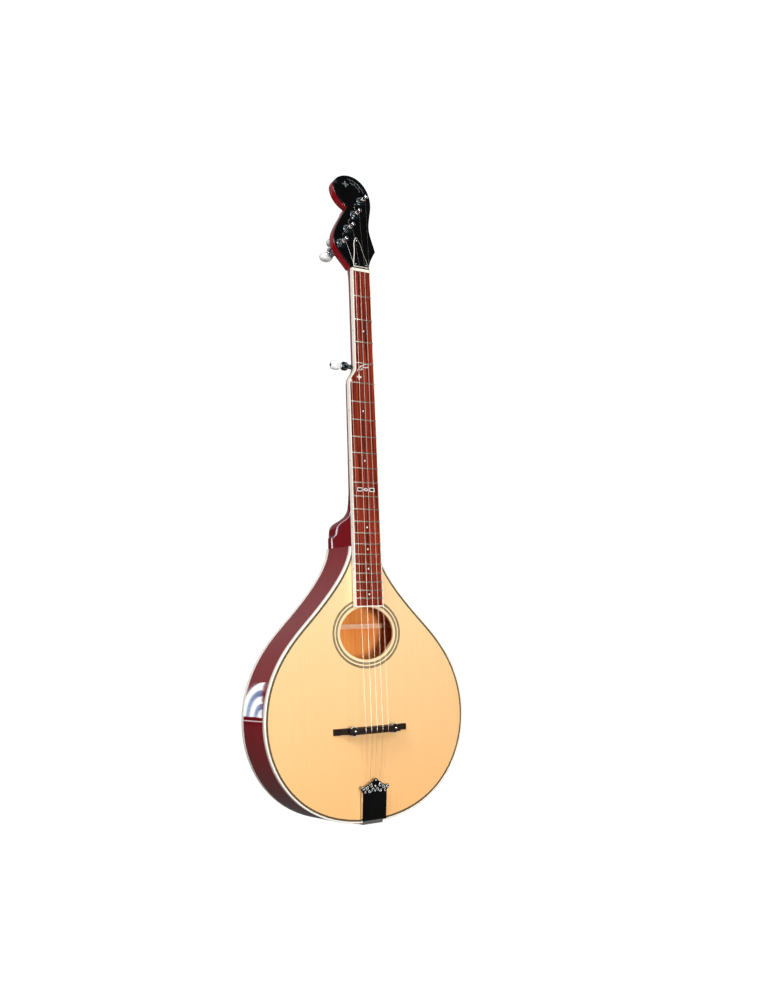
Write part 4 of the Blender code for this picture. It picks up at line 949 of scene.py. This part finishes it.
def build_window():
    """The right half of an arched softbox with panes, seen only as a reflection in the body's side."""
    middle_x, foot_z, distance = -1.472, -0.655, 2.2
    half_width, rise, lean = 0.082, 0.865, 0.308
    steps = 32
    white, blue = (0.80, 0.93, 1.0), (0.0, 0.45, 0.85)
    white_glow, blue_glow = 11.0, 4.0
    panes = (
        (1.0, 0.80, white, white_glow), (0.80, 0.62, blue, blue_glow), (0.62, 0.42, white, white_glow),
        (0.42, 0.24, blue, blue_glow), (0.24, 0.0, white, white_glow),
    )
    for index, (outer, inner, colour, strength) in enumerate(panes):
        work = bmesh.new()
        rows = []
        for share in (outer, inner):
            row = []
            for k in range(steps + 1):
                angle = math.pi / 2 * k / steps
                height = share * math.sin(angle)
                x = middle_x + half_width * share * math.cos(angle) + lean * height ** 2
                row.append(work.verts.new((x, distance, foot_z + rise * height)))
            rows.append(row)
        for k in range(steps):
            work.faces.new((rows[0][k], rows[0][k + 1], rows[1][k + 1], rows[1][k]))
        mesh = bpy.data.meshes.new(f"window_{index}")
        work.to_mesh(mesh)
        work.free()
        glow = bpy.data.materials.new(f"window_glow_{index}")
        glow.use_nodes = True
        shader = glow.node_tree.nodes["Principled BSDF"]
        shader.inputs["Base Color"].default_value = (0.0, 0.0, 0.0, 1.0)
        shader.inputs["Emission Color"].default_value = (*colour, 1.0)
        shader.inputs["Emission Strength"].default_value = strength
        mesh.materials.append(glow)
        pane = bpy.data.objects.new(f"window_{index}", mesh)
        bpy.context.scene.collection.objects.link(pane)
        pane.visible_camera = False


def camera_only_white(tree, shown, felt):
    """Mix two shaders: the camera sees the first, and the object is lit by the second."""
    paths = tree.nodes.new("ShaderNodeLightPath")
    mix = tree.nodes.new("ShaderNodeMixShader")
    tree.links.new(paths.outputs["Is Camera Ray"], mix.inputs["Fac"])
    tree.links.new(felt, mix.inputs[1])
    tree.links.new(shown, mix.inputs[2])
    return mix.outputs["Shader"]


def build_studio():
    """Pale surroundings for the camera, a dark room with soft lights for the object."""
    world = bpy.data.worlds.new("studio")
    bpy.context.scene.world = world
    world.use_nodes = True
    tree = world.node_tree
    room = tree.nodes["Background"]
    room.inputs["Color"].default_value = (0.07, 0.07, 0.075, 1.0)
    white = tree.nodes.new("ShaderNodeBackground")
    white.inputs["Color"].default_value = (1.0, 1.0, 1.0, 1.0)
    white.inputs["Strength"].default_value = 1.05
    result = camera_only_white(tree, white.outputs["Background"], room.outputs["Background"])
    tree.links.new(result, tree.nodes["World Output"].inputs["Surface"])
    bpy.context.scene.view_settings.view_transform = "Standard"

    body_middle = (0, 0, -0.60)
    area_light("key", (-0.62, -2.1, -0.66), body_middle, (0.40, 0.40), 37, (1.0, 0.97, 0.93))
    area_light("neck_key", (-0.3, -2.0, 0.6), (0, 0, -0.15), (0.7, 0.7), 12)
    area_light("fill", (-1.9, -0.9, 1.2), (0, 0, -0.5), (1.2, 1.2), 42)
    area_light("top", (0.0, -0.3, 1.7), (0, 0, -0.3), (1.5, 1.5), 10)
    area_light("back_card", (-0.45, 1.9, 0.62), (-0.2, 0, -0.5), (2.8, 1.5), 3.6)
    area_light("softbox_strip", (-0.861, 1.1, -0.708), (-0.861, 0.0, -0.708), (0.19, 0.014), 0.035)
    area_light("far_side", (2.0, 1.7, 0.6), (0, 0, -0.5), (1.5, 1.5), 22)
    build_window()

    floor_mesh = bpy.data.meshes.new("floor")
    work = bmesh.new()
    bmesh.ops.create_grid(work, x_segments=1, y_segments=1, size=14.0)
    bmesh.ops.translate(work, vec=(0, 0, cad_box[0].z - 0.02), verts=work.verts)
    work.to_mesh(floor_mesh)
    work.free()
    floor = bpy.data.objects.new("floor", floor_mesh)
    bpy.context.scene.collection.objects.link(floor)
    pale = bpy.data.materials.new("pale_floor")
    pale.use_nodes = True
    tree = pale.node_tree
    matt = tree.nodes["Principled BSDF"]
    matt.inputs["Base Color"].default_value = (0.13, 0.13, 0.13, 1.0)
    matt.inputs["Roughness"].default_value = 0.9
    white = tree.nodes.new("ShaderNodeEmission")
    white.inputs["Strength"].default_value = 1.05
    result = camera_only_white(tree, white.outputs["Emission"], matt.outputs["BSDF"])
    tree.links.new(result, tree.nodes["Material Output"].inputs["Surface"])
    floor_mesh.materials.append(pale)


build_camera()
build_studio()
build_body()
build_rosette()
build_neck()
build_board()
build_markers()
build_nuts()
build_headstock()
build_tuners()
build_fifth_peg()
build_bridge()
build_tailpiece()
build_strings()
finish_kept_nodes()
